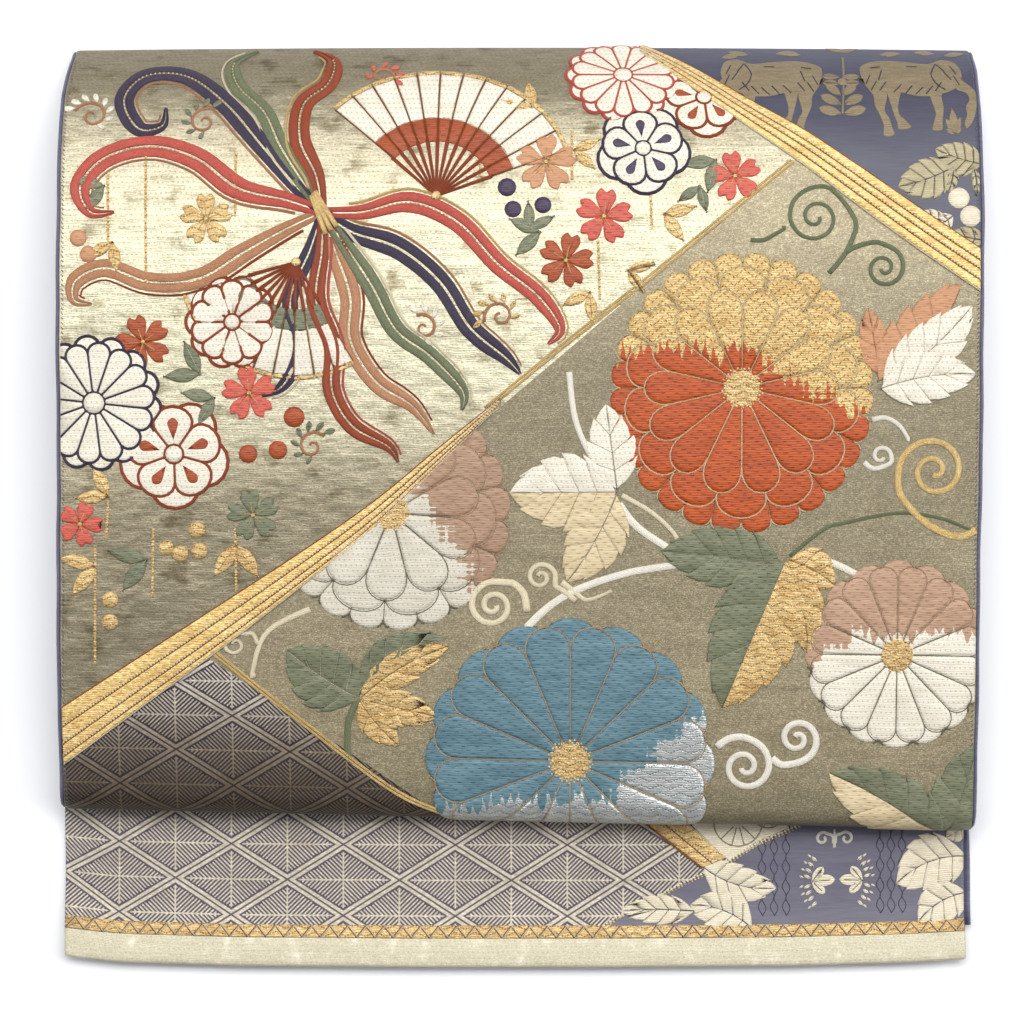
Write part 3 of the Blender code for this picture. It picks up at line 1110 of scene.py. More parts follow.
class Loom:
    """All the raised work of one surface, a board for each thread."""

    def __init__(self, surface: Surface, prefix: str) -> None:
        """Starts with empty boards."""
        self.surface = surface
        self.prefix = prefix
        self.boards: dict[Yarn, Board] = {}

    def __getitem__(self, yarn: Yarn) -> Board:
        """That thread's board."""
        return self.boards.setdefault(yarn, Board())

    def lay(self) -> list[Object]:
        """Lays every board on the surface, and gives the pieces."""
        return [
            board.lay(f"{self.prefix}_{yarn.value[0]}", self.surface, yarn.finishes())
            for yarn, board in self.boards.items()
        ]


class Petal(Enum):
    """Half outlines of small petals, buds and leaves, from foot to tip."""

    CHERRY = (0.04 + 0.04j, 0.36 + 0.24j, 0.72 + 0.36j, 0.98 + 0.2j, 0.86 + 0.02j)
    TEAR = (0.02 + 0.02j, 0.4 + 0.17j, 0.78 + 0.27j, 1.0 + 0.1j)
    BUD = (0.0 + 0.04j, 0.4 + 0.24j, 0.8 + 0.22j, 1.0 + 0.04j)
    LEAFLET = (0.0 + 0.015j, 0.35 + 0.2j, 0.7 + 0.17j, 1.0 + 0.01j)


def mirrored(foot: complex, tip: complex, petal: Petal, steps: int = 3) -> Array:
    """The petal's outline, the same on both sides of the line from its foot to its tip, rounded in steps."""
    half = petal.value
    shape = smooth([*half, *(knot.conjugate() for knot in reversed(half))], steps, closed=True)
    return foot + (tip - foot) * shape


def chrysanthemum_petal(
    centre: complex, heading: complex, inner: float, tip: float, half: float, rounding: float
) -> Array:
    """A long petal between two rays with a round end.

    Args:
        centre: the flower's centre.
        heading: the unit step along the petal.
        inner: how far from the centre it starts.
        tip: how far from the centre it ends.
        half: half the angle between its rays, in radians.
        rounding: how deep its round end is.

    Returns:
        The outline, with its foot last.
    """
    swing = np.linspace(-math.pi / 2, math.pi / 2, 13)
    rim = (tip - rounding * (1 - np.cos(swing))) * np.exp(1j * half * np.sin(swing))
    foot = inner * np.exp(1j * half * np.array([1, -1]))
    return centre + heading * np.concatenate([rim, foot])


class Ring(NamedTuple):
    """One ring of petals: how many, how far out they end, how deep they are rounded, and one's direction."""

    count: int
    tip: float
    rounding: float
    start: float


FLOWER_LEVELS = (HIGH, MIDDLE, LOW)
GOLDEN_ANGLE = 137.508
FLAT_PAD = dict(height=0.16, level=GROUND, crown=0.0, edge=0.3)


@dataclass(frozen=True)
class Chrysanthemum:
    """A large chrysanthemum in two dyes, with its rings of petals from the front one back."""

    name: str
    centre: complex
    disc: float
    rings: tuple[Ring, ...]
    floats: Finish
    outline: Finish
    level: int = 0
    line_width: float = 0.6
    trim: Optional[tuple[complex, complex]] = None
    second_line: Optional[Finish] = None
    lean: complex = 0
    tall: float = 0.0

    def weave(self, loom: Loom) -> Object:
        """Makes the petals as one piece, and the disc's knots on the loom's boards.

        Args:
            loom: the boards of the surface that the flower lies on.

        Returns:
            The petals' piece.
        """
        board = Board()
        for index, ring in enumerate(self.rings):
            level, half = FLOWER_LEVELS[index + self.level], math.pi / ring.count
            inner = self.disc * 0.8 if index == 0 else self.rings[index - 1].tip * 0.6
            for k in range(ring.count):
                heading = turn(ring.start + 360 * k / ring.count)
                leaning = (heading * self.lean.conjugate()).real
                reach = ring.tip * (1 + leaning + self.tall * (2 * heading.imag**2 - 1))
                outline = chrysanthemum_petal(self.centre, heading, inner, reach, half, ring.rounding)
                pulled_in = self.centre + (outline - self.centre) * (1 - 0.25 / ring.tip)
                board.pad(pulled_in, 0.2, level, 0.14, 1.1)
                line = outline[:-2] if index else np.insert(outline[:-2], 0, outline[-1])
                for part in (line,) if index < len(self.rings) - 1 else (line[:4], line[-4:]):
                    board.cord(part, self.line_width, 0.36, level)
        disc = arc(self.centre, self.disc, 0, 345, 23)
        if self.trim:
            disc = np.array([spot for spot in disc if not left_of(spot, *self.trim)])
        loom[GOLD].pad(disc, 0.2, HIGH, 0.06, 0.8)
        if self.trim:
            cut_along(board.bm, *self.trim, True)
        self.knot_disc(loom)
        for face in board.bm.faces if self.second_line else ():
            spot = complex(*face.calc_center_median().xy)
            second = any(left_of(spot, *line) for line in self.floats.pattern.lines)
            if second and face.material_index == Board.CORD:
                face.material_index = 2
        finishes = (self.floats, self.outline, self.second_line)
        return board.lay(self.name, loom.surface, finishes if self.second_line else finishes[:2])

    def knot_disc(self, loom: Loom) -> None:
        """Fills the disc with small gold and cream knots, set in a spiral as seeds are."""
        spacing = 0.78
        for k in range(int((self.disc / spacing) ** 2 * 1.3)):
            radius = spacing * 0.88 * math.sqrt(k + 0.5)
            spot = self.centre + radius * turn(GOLDEN_ANGLE * k)
            if radius < self.disc and not (self.trim and left_of(spot, *self.trim)):
                loom[CREAM if k % 3 == 0 else GOLD].dot(spot, 0.42, 0.46, HIGH, 6)


class Leaf(NamedTuple):
    """A toothed leaf of slanting lobes along a midrib, each half in its own thread."""

    foot: complex
    tip: complex
    width: float
    left: Optional[Yarn]
    right: Optional[Yarn]
    bend: float = 0.0
    lobes: int = 5
    vein: Optional[Yarn] = None
    level: Level = LOW


def leaf_of(u: float, v: float, tip_u: float, tip_v: float, *values: object) -> Leaf:
    """The leaf with its foot at u and v, its tip at tip_u and tip_v, and those other values."""
    return Leaf(at(u, v), at(tip_u, tip_v), *values)


def weave_leaf(loom: Loom, leaf: Leaf) -> None:
    """Makes a leaf: a pad for each lobe between its side veins, and a cord on each vein if it has them.

    Args:
        loom: the surface's boards.
        leaf: the leaf.
    """
    span = leaf.tip - leaf.foot
    share = leaf.width / abs(span)

    def spot(t: float, s: float) -> complex:
        """The place at that share of the midrib, and s half widths to its left."""
        return leaf.foot + span * (t + 1j * (s * share / 2 + leaf.bend * 4 * t * (1 - t)))

    def edge(t: float) -> float:
        """How wide the leaf is there."""
        return math.sin(math.pi * min(1.0, max(0.0, t)) ** 0.82) ** 0.7

    sweep, reach = 0.2, 0.84
    for side, yarn in ((1, leaf.left), (-1, leaf.right)):
        for k in range(leaf.lobes if yarn else 0):
            a, b = reach * k / leaf.lobes, reach * (k + 1) / leaf.lobes
            last = k == leaf.lobes - 1
            low, high = max(0.03, a + sweep * (0.35 + a)), min(0.97, b + sweep * (0.35 + b))
            knots = [
                (a - 0.01, 0.0), (low, edge(low) * 0.9), ((low + high) / 2, edge((low + high) / 2) * 1.02),
                (high + 0.03, edge(high + 0.03) + 0.07), (high - 0.01, edge(high) * 0.8), (b + 0.01, 0.0),
            ]
            if last:
                low = min(low, 0.86)
                knots[1:] = [
                    (low, edge(low) * 0.9), ((low + 1) / 2, edge((low + 1) / 2) * 0.95), (1.0, 0.0),
                    ((a + 1) / 2, 0.0),
                ]
            outline = np.array([spot(t, side * s) for t, s in knots])
            loom[yarn].pad(outline, 0.24, leaf.level, 0.16, 0.55)
            if leaf.vein and not last:
                line = [
                    spot(b, 0), spot((b + high) / 2, side * edge(high) * 0.4),
                    spot(high, side * edge(high) * 0.82),
                ]
                loom[leaf.vein].cord(smooth(line, 3), 0.3, 0.4, leaf.level, 0.4)
    if leaf.vein:
        midrib = np.array([spot(t, 0) for t in np.linspace(-0.02, 0.96, 9)])
        loom[leaf.vein].cord(midrib, 0.42, 0.44, leaf.level, 0.5)


class Tendril(NamedTuple):
    """A stem that ends in a curl: its lead, then the curl's centre, radii, first direction and turns."""

    yarn: Yarn
    lead: Array
    centre: complex
    outer: float
    inner: float
    start: float
    turns: float
    width: float = 2.1


def weave_tendril(loom: Loom, tendril: Tendril, level: Level = LOW) -> None:
    """Makes a tendril's cord."""
    curl = spiral(tendril.centre, tendril.outer, tendril.inner, tendril.start, tendril.turns)
    line = smooth(np.concatenate([tendril.lead, curl[::2]]), 3)
    loom[tendril.yarn].cord(line, tendril.width, 0.38, level, 0.7)


class Blossom(NamedTuple):
    """A small cherry blossom."""

    yarn: Yarn
    centre: complex
    radius: float
    start: float = 90.0


def weave_blossom(loom: Loom, blossom: Blossom) -> None:
    """Makes a cherry blossom with its gold centre lines."""
    for k in range(5):
        heading = turn(blossom.start + 72 * k)
        petal = mirrored(blossom.centre, blossom.centre + blossom.radius * heading, Petal.CHERRY)
        loom[blossom.yarn].pad(petal, 0.26, LOW, 0.14, 0.6)
        loom[GOLD].cord(blossom.centre + heading * blossom.radius * np.linspace(0.02, 0.5, 4), 0.5, 0.5)
    loom[GOLD].dot(blossom.centre, 0.8, 0.5, sides=8)


class Rosette(NamedTuple):
    """A white flower with thick coloured outlines: a daisy, or a plum blossom with a drop in each petal."""

    yarn: Yarn
    centre: complex
    radius: float
    count: int
    start: float
    drops: bool
    level: Level = LOW
    tuck: Optional[tuple[complex, complex]] = None


def tucked(outline: Array, start: complex, end: complex) -> Array:
    """The outline with what is to the left of a line drawn back onto the line."""
    along = (end - start) / abs(end - start)
    local = (outline - start) * along.conjugate()
    return start + along * (local.real + 1j * np.minimum(local.imag, 0.0))


def weave_rosette(loom: Loom, flower: Rosette) -> None:
    """Makes an outlined white flower over a back ring of its own.

    Args:
        loom: the surface's boards.
        flower: the flower.
    """
    half, inner = math.pi / flower.count, flower.radius * 0.17
    step = 360 / flower.count
    for back in (True, False):
        level = flower.level if back else list(Level)[list(Level).index(flower.level) + 1]
        tip = flower.radius if back else flower.radius * (0.86 if flower.drops else 0.9)
        rounding = tip * (0.42 if flower.drops else 0.2)
        for k in range(flower.count):
            heading = turn(flower.start + step * (k + 0.5 * back))
            outline = chrysanthemum_petal(flower.centre, heading, inner, tip, half, rounding)
            if flower.tuck:
                if all(left_of(spot, *flower.tuck) for spot in outline):
                    continue
                outline = tucked(outline, *flower.tuck)
            loom[WHITE].pad(outline, 0.2, level, 0.14, 0.8)
            loom[flower.yarn].cord(outline if not back else outline[:-2], 1.5, 0.34, level)
            if flower.drops and not back:
                foot, end = (flower.centre + heading * tip * share for share in (0.31, 0.76))
                drop = mirrored(foot, end, Petal.TEAR)
                loom[flower.yarn].pad(drop, 0.36, level, 0.1, 0.4)
    loom[WHITE].dot(flower.centre, inner, 0.3, HIGH)
    loom[flower.yarn].cord(arc(flower.centre, inner, 0, 360, 16), 1.2, 0.4, HIGH)


def weave_sprig(loom: Loom, yarn: Yarn, foot: complex, heading: float, size: float) -> None:
    """Makes two leaflets that part from one foot, each with a pale centre line."""
    for spread in (-34, 34):
        tip = foot + size * turn(heading + spread)
        loom[yarn].pad(mirrored(foot, tip, Petal.LEAFLET), 0.26, LOW, 0.14, 0.5)
        loom[CREAM if yarn is GREEN else BAND].cord(foot + (tip - foot) * np.linspace(0, 0.85, 4), 0.4, 0.44)


def weave_band(
    loom: Loom, yarn: Yarn, upper: Array, lower: Array, cuts: tuple[float, ...], level: Level = HIGH
) -> None:
    """Makes a band of gold stripes with a dark line and a row of pale stitches between each two.

    Args:
        loom: the surface's boards.
        yarn: the gold of its stripes.
        upper: places along its one edge.
        lower: the places across from them on its other edge.
        cuts: the shares of its width at which its stripes start and end.
        level: where it starts.
    """
    fine_up, fine_low = smooth(upper, 4), smooth(lower, 4)
    for start, end in zip(cuts, cuts[1:]):
        first, last = (fine_up + (fine_low - fine_up) * share for share in (start + 0.012, end - 0.012))
        loom[yarn].pad(np.concatenate([first, last[::-1]]), 0.3, level, 0.08, 0.4)
    for share in cuts[:-1]:
        loom[BAND].cord(beside(fine_up + (fine_low - fine_up) * share, -0.2), 0.62, 0.42, level)
    for share in cuts[1:-1]:
        loom[CREAM].dots(beside(fine_up + (fine_low - fine_up) * share, 0.3), 1.15, 0.44, level, 0.46)
    loom[CREAM].cord(fine_low, 0.6, 0.42, level)


PALE_LINE = twist("ece0bd", "cdb98a", metal=0.1, rough=0.45, glint=0.3)
TAN_LINE = twist("d0b694", "ab9070", metal=0.1, glint=0.2)
GREY_LINE = twist("8f8a74", "716c58")
RED_THREAD = silk("bd5316", "933a0a", 0.5)
FLOWER_GOLD = Thread("dbc086", "aa8244", **METAL, bind=Bind.CHEVRON, bound=0.4)
BLUE_THREAD = silk("688994", "44646f", 0.6)
SILVER_THREAD = Thread(
    "dcdeda", "aab0b0", metal=0.6, rough=0.4, pitch=0.8, length=3.0, rib=0.6, glint=0.3, bind=Bind.LINES,
    bound=0.55,
)
TAUPE_THREAD = silk("bc9a80", "9c7960", 0.72)
SOFT_TAUPE = silk("ae8e75", "8f6f58", 0.72)
SOFT_WHITE = silk("d6d0c1", "bdb6a3", 0.68, Bind.POINTS)
WHITE_THREAD = WHITE.value[1]

FLOWERS = (
    Chrysanthemum(
        "red_gold_chrysanthemum", at(74.2, 39.9), 7,
        (Ring(14, 33.8, 9, -90 + 180 / 14), Ring(14, 40.8, 6.7, -90), Ring(28, 45.8, 3.7, -90 + 90 / 14)),
        Finish(
            "red_gold_floats", RED_THREAD, FLOWER_GOLD,
            Split(((at(26.9, 51.9), at(126.7, 52)), (at(75.1, 51.9), at(117.6, 27.9))), 7.5),
        ),
        Finish("pale_gold_line", PALE_LINE, relief=0.15),
        lean=-0.034j,
        tall=0.034,
    ),
    Chrysanthemum(
        "blue_silver_chrysanthemum", at(17.2, -86.2), 7.7,
        (Ring(16, 46.5, 8.7, -90 + 11.25), Ring(16, 49.2, 5.4, -90)),
        Finish(
            "blue_silver_floats", BLUE_THREAD, SILVER_THREAD,
            Split(((at(30.7, -96.9), at(-15.9, -102.7)), (at(62.9, -68.4), at(29.4, -98))), 6.0),
        ),
        Finish("tan_line", TAN_LINE, relief=0.15),
    ),
    Chrysanthemum(
        "white_taupe_chrysanthemum_right", at(127, -48.3), 5.5,
        (Ring(16, 29.4, 5, -90 + 11.25), Ring(16, 31.4, 3.3, -90)),
        Finish(
            "white_taupe_right", WHITE_THREAD, TAUPE_THREAD,
            Split(((at(94.3, -41.1), at(158.2, -40.4)), (at(95.4, -53.4), at(115.8, -40.9))), 4.5),
        ),
        Finish("grey_line", GREY_LINE, relief=0.15),
        1,
        0.48,
        second_line=Finish("tan_line", TAN_LINE, relief=0.15),
    ),
    Chrysanthemum(
        "white_taupe_chrysanthemum_left", at(-42.9, -2.1), 6.5,
        (Ring(10, 30.1, 10, -94), Ring(10, 35.4, 6.7, -76), Ring(20, 40.5, 4, -85)),
        Finish("white_taupe_left", SOFT_WHITE, SOFT_TAUPE, Split(((at(-33.9, 7.3), at(-13.5, -28.1)),), 7.0)),
        Finish("grey_line", GREY_LINE, relief=0.15),
        line_width=0.5,
        trim=(at(-73.4, -27.3), at(-16.5, 25.2)),
        second_line=Finish("tan_line", TAN_LINE, relief=0.15),
    ),
)

GARDEN_LEAVES = each(
    leaf_of,
    (32, 5.1, -3.4, 4.7, 25.4, CREAM, WHITE, 0.0, 5, VEIN),
    (32.6, 6.4, 28.9, 34.5, 16.7, WHITE, WHITE, 0.0, 4, VEIN),
    (32.3, 3.7, 16, -25.2, 19.4, CREAM, CREAM, 0.04, 5, VEIN),
    (87.7, -19.1, 47.5, -14.6, 20.7, GREEN, GREEN, -0.01, 6, VEIN),
    (89, -18, 68.3, -66.9, 29.4, GOLD, GREEN, 0.0, 6, VEIN),
    (90, -18, 97.1, -48.3, 14.7, GOLD, GOLD, 0.05, 4), (90.4, -17.4, 106.2, -25.8, 14.7, GOLD, GOLD, 0.05, 3),
    (144.6, -112.9, 155.4, -76.7, 20.7, GREEN, GREEN, 0.0, 4, VEIN),
    (143.9, -111.6, 104.6, -88.3, 22.1, None, GREEN, -0.04, 5, VEIN, MIDDLE),
    (143.9, -111.6, 104.6, -88.3, 25.4, CREAM, None, -0.04, 5, VEIN, MIDDLE),
    (-53.6, -65.9, -77.7, -49.5, 22.1, GREEN, GREEN, 0.04, 5, CREAM),
    (-53.3, -63, -24.2, -44.6, 16.7, GREEN, None, 0.08, 5, CREAM),
    (-53, -65.8, -23.5, -47.3, 12.7, GOLD, GOLD, 0.06, 4),
    (-52.7, -66.5, -27.2, -71.9, 12.7, GOLD, GOLD, 0.0, 4),
    (-53.3, -67.2, -40.4, -82.3, 11.4, GOLD, GOLD, -0.04, 3),
    (121.5, 40.6, 150.6, 67.4, 18.1, WHITE, WHITE, -0.04, 6, VEIN, MIDDLE),
    (120.8, 39.9, 152.1, 44.6, 17.4, WHITE, WHITE, 0.05, 5, VEIN, HIGH),
    (120.1, 44.6, 116, 66.7, 10.7, PEACH, PEACH, 0.0, 4),
    (120.1, 42.6, 147.2, 74.7, 26.1, PEACH, None, -0.1, 6, VEIN),
)

STEMS = (
    (WHITE, trail(16.6, 45.3, 18.1, 32.2, 20.9, 23.1, 25.9, 13.8, 31, 6.7), 2.3, 0.9),
    (WHITE, trail(33.3, 1, 39.4, -6.6, 50.8, -14.3), 3.0, 0.9),
    (CREAM, trail(34.3, 4, 44, -1.6, 50.8, -7.6, 53.8, -12.3), 1.9, 0.8),
    (WHITE, trail(52.9, -19.2, 36.5, -22, 21.1, -27.1, 10.7, -33, 2.3, -40.9), 2.7, 1.1),
    (CREAM, trail(14.3, -25.2, 19, -28.9, 23.1, -31.2, 31.1, -28.1), 2.4, 0.4),
    (GREEN, trail(90.7, -16.1, 101.6, -7.4, 108.6, -5.1, 126.7, -1.8, 140.8, -3.4, 151.2, -7.3), 1.5, 0.8),
    (WHITE, trail(92.4, -16.7, 103.1, -17.7, 112.9, -21.9), 2.6, 1.0),
    (GREEN, trail(-54, -65.9, -57.1, -73.6, -57.8, -80.6, -57.3, -87.6), 2.6, 0.9),
    (GREEN, trail(-54.6, -64.5, -49.2, -55.3, -39.2, -49), 1.6, 0.6),
)

TENDRILS = each(
    Tendril,
    (CREAM, trail(19, -31.6, 14.3, -27.9), at(7.1, -23.7), 5.7, 1, -28, 1.5, 2.2),
    (CREAM, trail(2.6, -35.4, 1.6, -29.4, -1.7, -26), at(-8.8, -33.5), 9, 1, 62, 1.9, 2.8),
    (
        CREAM, trail(-70, -35.2, -81.4, -40.9, -86.7, -47.2, -89.4, -58.5), at(-89.4, -58.5), 0.6, 0.3, 0,
        0.3, 2.3,
    ),
    (CREAM, trail(-87.4, -47.9, -89.1, -44.1), at(-95.1, -48), 5, 1, 50, 1.3, 1.7),
    (WHITE, trail(66.7, -80.3, 70.8, -77.4), at(76.2, -86.9), 10, 1, 90, -1.75, 2.9),
    (WHITE, trail(85.3, -83.6, 88.7, -86), at(93.7, -76.9), 8, 1, -80, 1.6, 2.9),
    (GREEN, trail(103, 78.4, 107.3, 83.4, 110.9, 90.2, 111.6, 96.6), at(98.6, 97.2), 11, 1, 62, 1.9, 1.9),
    (GREEN, trail(77, 89.5, 81.3, 89.5, 85, 91.5), at(83.3, 94.9), 5, 4.7, -20, 0.04, 1.8),
    (GREEN, trail(108.6, 85.4, 112.6, 87.5, 117.9, 88.8), at(121.2, 80.1), 8, 1, 90, -1.7, 1.9),
    (GOLD, trail(152.9, -7.3, 146.9, -9.6, 137.4, -6, 129, 1.8), at(138.5, 12.1), 12.7, 1.3, 200, -1.85, 2.8),
    (WHITE, trail(117.6, 29.2, 122.3, 29.9, 126.9, 27.2), at(129, 22.5), 1.0, 0.6, 60, -0.3, 2.0),
    (WHITE, trail(115.1, 15.1, 118.4, 12.8), at(120.7, 17.1), 4, 1, -40, 1.1, 2.0),
)


def weave_garden(loom: Loom) -> list[Object]:
    """Makes the olive field's chrysanthemums, leaves, stems and tendrils, and gives the flowers' pieces."""
    for yarn, line, width, taper in STEMS:
        loom[yarn].cord(smooth(line, 6), width, 0.36, GROUND, taper)
    for tendril in TENDRILS:
        weave_tendril(loom, tendril)
    for leaf in GARDEN_LEAVES:
        weave_leaf(loom, leaf)
    return [flower.weave(loom) for flower in FLOWERS]


BLOSSOMS = each(
    Blossom,
    (CORAL, at(-90.3, 38.2), 9.4, 96), (CORAL, at(-147.1, -6.2), 8, 70), (CORAL, at(71.8, 111.3), 9, 100),
    (CORAL, at(28.2, 97.5), 9.7, 84), (RUST, at(-125.7, 55.3), 9.4, 110), (RUST, at(15.5, 82.7), 9.4, 76),
    (PEACH, at(8.9, 116.1), 10.4, 88), (GREEN, at(-89.1, -2.9), 9, 100), (GOLD, at(-104.7, 96.6), 9, 92),
)

FALL = (at(41.3, 165.5), at(156.5, 77.8))

ROSETTES = each(
    Rosette,
    (RUST, at(-115.5, 17.8), 18.4, 5, 92, True), (NAVY, at(-142.2, 34.9), 22.4, 14, 84, False, MIDDLE),
    (RUST, at(-95.9, 62), 15.4, 10, 18, False), (RUST, at(61.9, 140.2), 15, 5, 240, True, LOW, FALL),
    (NAVY, at(41.3, 120.8), 15.7, 5, 96, True, MIDDLE),
    (CORAL, at(35, 149.8), 19.1, 14, 90, False, MIDDLE, FALL),
)

SPRIGS = (
    (GREEN, at(-139, 107.9), 200, 10.5), (GREEN, at(-106.7, 44.6), 150, 12.0),
    (GREEN, at(6.9, 92.1), 190, 11.0), (GREEN, at(65.5, 116.9), 222, 11.5),
    (GREEN, at(-125, -18.6), 200, 13.0), (GREEN, at(-102, 36.6), 205, 11.0),
    (GOLD, at(4.3, 136), 130, 10.5), (GOLD, at(48.1, 98.2), -20, 11.0), (GOLD, at(23.5, 72), 240, 10.0),
    (GOLD, at(-136.1, 88.8), 245, 10.0), (GOLD, at(-137.6, 3.5), 150, 11.0),
    (GOLD, at(-142.1, -20.8), 200, 12.5), (GOLD, at(-94.8, -13.2), -90, 13.0),
    (GOLD, at(36.1, 79.4), -20, 9.0), (GREEN, at(3.6, 93.5), 60, 9.0), (GOLD, at(18.3, 120.4), -10, 9.5),
    (GREEN, at(60.1, 107.8), 250, 9.0),
)

DROPS = (
    (RUST, at(-75.3, 30.2), 3.7), (RUST, at(-90.7, 17.8), 3.3), (RUST, at(-80.7, 19.1), 3.3),
    (NAVY, at(-4.1, 107.4), 3.3), (NAVY, at(-2.1, 99.9), 3), (NAVY, at(7.9, 101.3), 3),
    (PEACH, at(-147.5, 90.2), 3), (PEACH, at(-144.1, 84.8), 3), (GOLD, at(-118.3, -14.4), 2.7),
    (GOLD, at(-113.6, -16.4), 3), (GOLD, at(-107.9, -8.1), 3), (GOLD, at(-107.2, -15.4), 3),
    (GOLD, at(-137, -32.7), 3), (GOLD, at(-137, -40.5), 3),
)

HANGING = (
    trail(-142.1, -13.5, -142, -55.9), trail(-122.6, -7.5, -122.9, -31.6), trail(-95.1, -7.4, -94.8, -29.5),
    trail(-125.2, 120.7, -124.7, 72.7), trail(-95, 120.5, -95, 97.9), trail(17.6, 127.6, 17.6, 109.9),
    trail(26.2, 89.4, 26.8, 69.3), trail(43.5, 109.9, 44.1, 92.8), trail(-137.8, 113.5, -137.4, 86.1),
    trail(-13.1, 120.4, -13.1, 109.9), trail(-137.6, 2.1, -138.4, -11.7),
)

KNOT = at(-65.9, 98.9)


class Ribbon(NamedTuple):
    """One ribbon of the bundle: its thread, its edge's, its width and the places it passes after the knot."""

    yarn: Yarn
    edge: Yarn
    width: float
    line: Array


RIBBONS = each(
    Ribbon,
    (
        NAVY, PEACH, 8.0,
        trail(
            -74.7, 107.8, -86.3, 122, -99, 138, -113.8, 150.4, -127.5, 150.6, -133.7, 140, -128.2, 128.8,
            -120.1, 129.5, -119.2, 136.5,
        ),
    ),
    (
        CORAL, PEACH, 8.8,
        trail(
            -78, 103, -94.1, 107.1, -108.3, 117.7, -123.9, 122.1, -139.2, 117.8, -147, 107.9, -143.5, 99,
            -135.5, 99,
        ),
    ),
    (GREEN, CREAM, 7.0, trail(-72, 108.5, -80.2, 121.9, -86, 134.7, -95.5, 145.5, -98, 156.4, -90.4, 163.8)),
    (RUST, GOLD, 7.8, trail(-68, 111.3, -73.6, 124.1, -72.7, 137.8, -65, 146.2, -63.7, 157.2, -71, 163.6)),
    (
        PEACH, RUST, 7.4,
        trail(
            -77.3, 93.5, -91.9, 85.4, -106.6, 76.7, -123.4, 75.4, -138.1, 80.1, -148.1, 76.1, -148.8, 69.4,
            -142.8, 68,
        ),
    ),
    (
        CORAL, GOLD, 7.6,
        trail(-52.5, 98.9, -36.5, 102.3, -20.5, 95.5, -7.1, 81.4, 6.2, 70.7, 13.5, 60, 9.6, 54.6),
    ),
    (NAVY, PEACH, 8.2, trail(-55.9, 92.1, -40.5, 86.8, -26.5, 75.4, -16.4, 60, -4.4, 49.9, 0.3, 44.6)),
    (GREEN, CREAM, 7.2, trail(-58.5, 88.1, -49.2, 74, -41.2, 59.3, -29.8, 50.6, -19.1, 39.2, -19.1, 32.5)),
    (PEACH, RUST, 7.6, trail(-61.9, 86.8, -56.5, 70.7, -56.5, 56, -47.9, 41.9, -35.8, 33.9, -28.5, 24.5)),
    (
        RUST, CORAL, 7.0,
        trail(-65.9, 86.1, -67.9, 69.3, -62.5, 54, -62.6, 39.2, -55.9, 27.2, -43.9, 20.4, -40.5, 15.1),
    ),
    (NAVY, CREAM, 6.0, trail(-69.9, 86.1, -76.6, 69.3, -73.2, 54, -78.6, 41.2, -86, 37.2)),
)


def weave_ribbons(loom: Loom) -> None:
    """Makes the knotted ribbons, each of two satin strands with a stitched line between and a fine edge."""
    for index, ribbon in enumerate(RIBBONS):
        line = smooth(np.insert(ribbon.line, 0, KNOT), 7)
        width = ribbon.width * np.interp(
            np.linspace(0, 1, len(line)), (0, 0.28, 0.75, 1), (0.42, 1.0, 0.85, 0.12)
        )
        level = (LOW, MIDDLE)[index % 2]
        for side in (-1, 1):
            loom[ribbon.yarn].cord(beside(line, side * width * 0.26), width * 0.46, 0.36, level)
        loom[CREAM].dots(line[6:-6], 1.5, 0.32, level)
        loom[ribbon.edge].cord(beside(line, width * 0.5 + 0.75)[5:-3], 1.2, 0.3, level, 0.5)
    for lean in (-14, 0, 14):
        tie = KNOT + lean * 0.11 * turn(38) + turn(116 + lean * 0.4) * np.linspace(-7.0, 7.0, 7)
        loom[GOLD].cord(tie, 2.0, 0.6, TOP)


class Fan(NamedTuple):
    """An open folding fan: its pivot, its reach, the directions of its two guards and the leaf's threads."""

    pivot: complex
    reach: float
    start: float
    end: float
    leaf: Yarn
    inner: Yarn
    ribs: int = 12


FANS = each(
    Fan,
    (at(-27.8, 104.4), 47.5, 20, 138, WHITE, RUST), (at(-74.6, 82.1), 39.5, 196, 300, WHITE, GREEN, 10),
)


def weave_fan(loom: Loom, fan: Fan) -> None:
    """Makes a folding fan: pleats that rise and fall, an inner band, a gold edge, sticks and a rivet.

    Args:
        loom: the surface's boards.
        fan: the fan.
    """
    step = (fan.end - fan.start) / fan.ribs
    for k in range(fan.ribs):
        low, high = fan.start + k * step, fan.start + (k + 1) * step
        for yarn, inner, outer in ((fan.inner, 0.4, 0.58), (fan.leaf, 0.585, 0.96), (GOLD, 0.965, 1.0)):
            near = arc(fan.pivot, fan.reach * inner, low + 0.3, high - 0.3, 2)
            far = arc(fan.pivot, fan.reach * outer, high - 0.3, low + 0.3, 2)
            loom[yarn].pad(np.concatenate([near, far]), 0.2, (LOW, MIDDLE)[k % 2], 0.1, 0.5)
    for k in range(fan.ribs + 1):
        heading = turn(fan.start + k * step)
        loom[RUST].cord(fan.pivot + heading * fan.reach * np.linspace(0.0, 0.42, 5), 0.9, 0.4, MIDDLE, 1.7)
        loom[BAND].cord(fan.pivot + heading * fan.reach * np.linspace(0.42, 0.97, 6), 0.45, 0.3, MIDDLE)
    loom[GOLD].dot(fan.pivot, 1.7, 0.5, HIGH)


class BudScroll(NamedTuple):
    """A curled stem with buds along its outer side."""

    stem: Yarn
    buds: Yarn
    centre: complex
    outer: float
    start: float
    turns: float


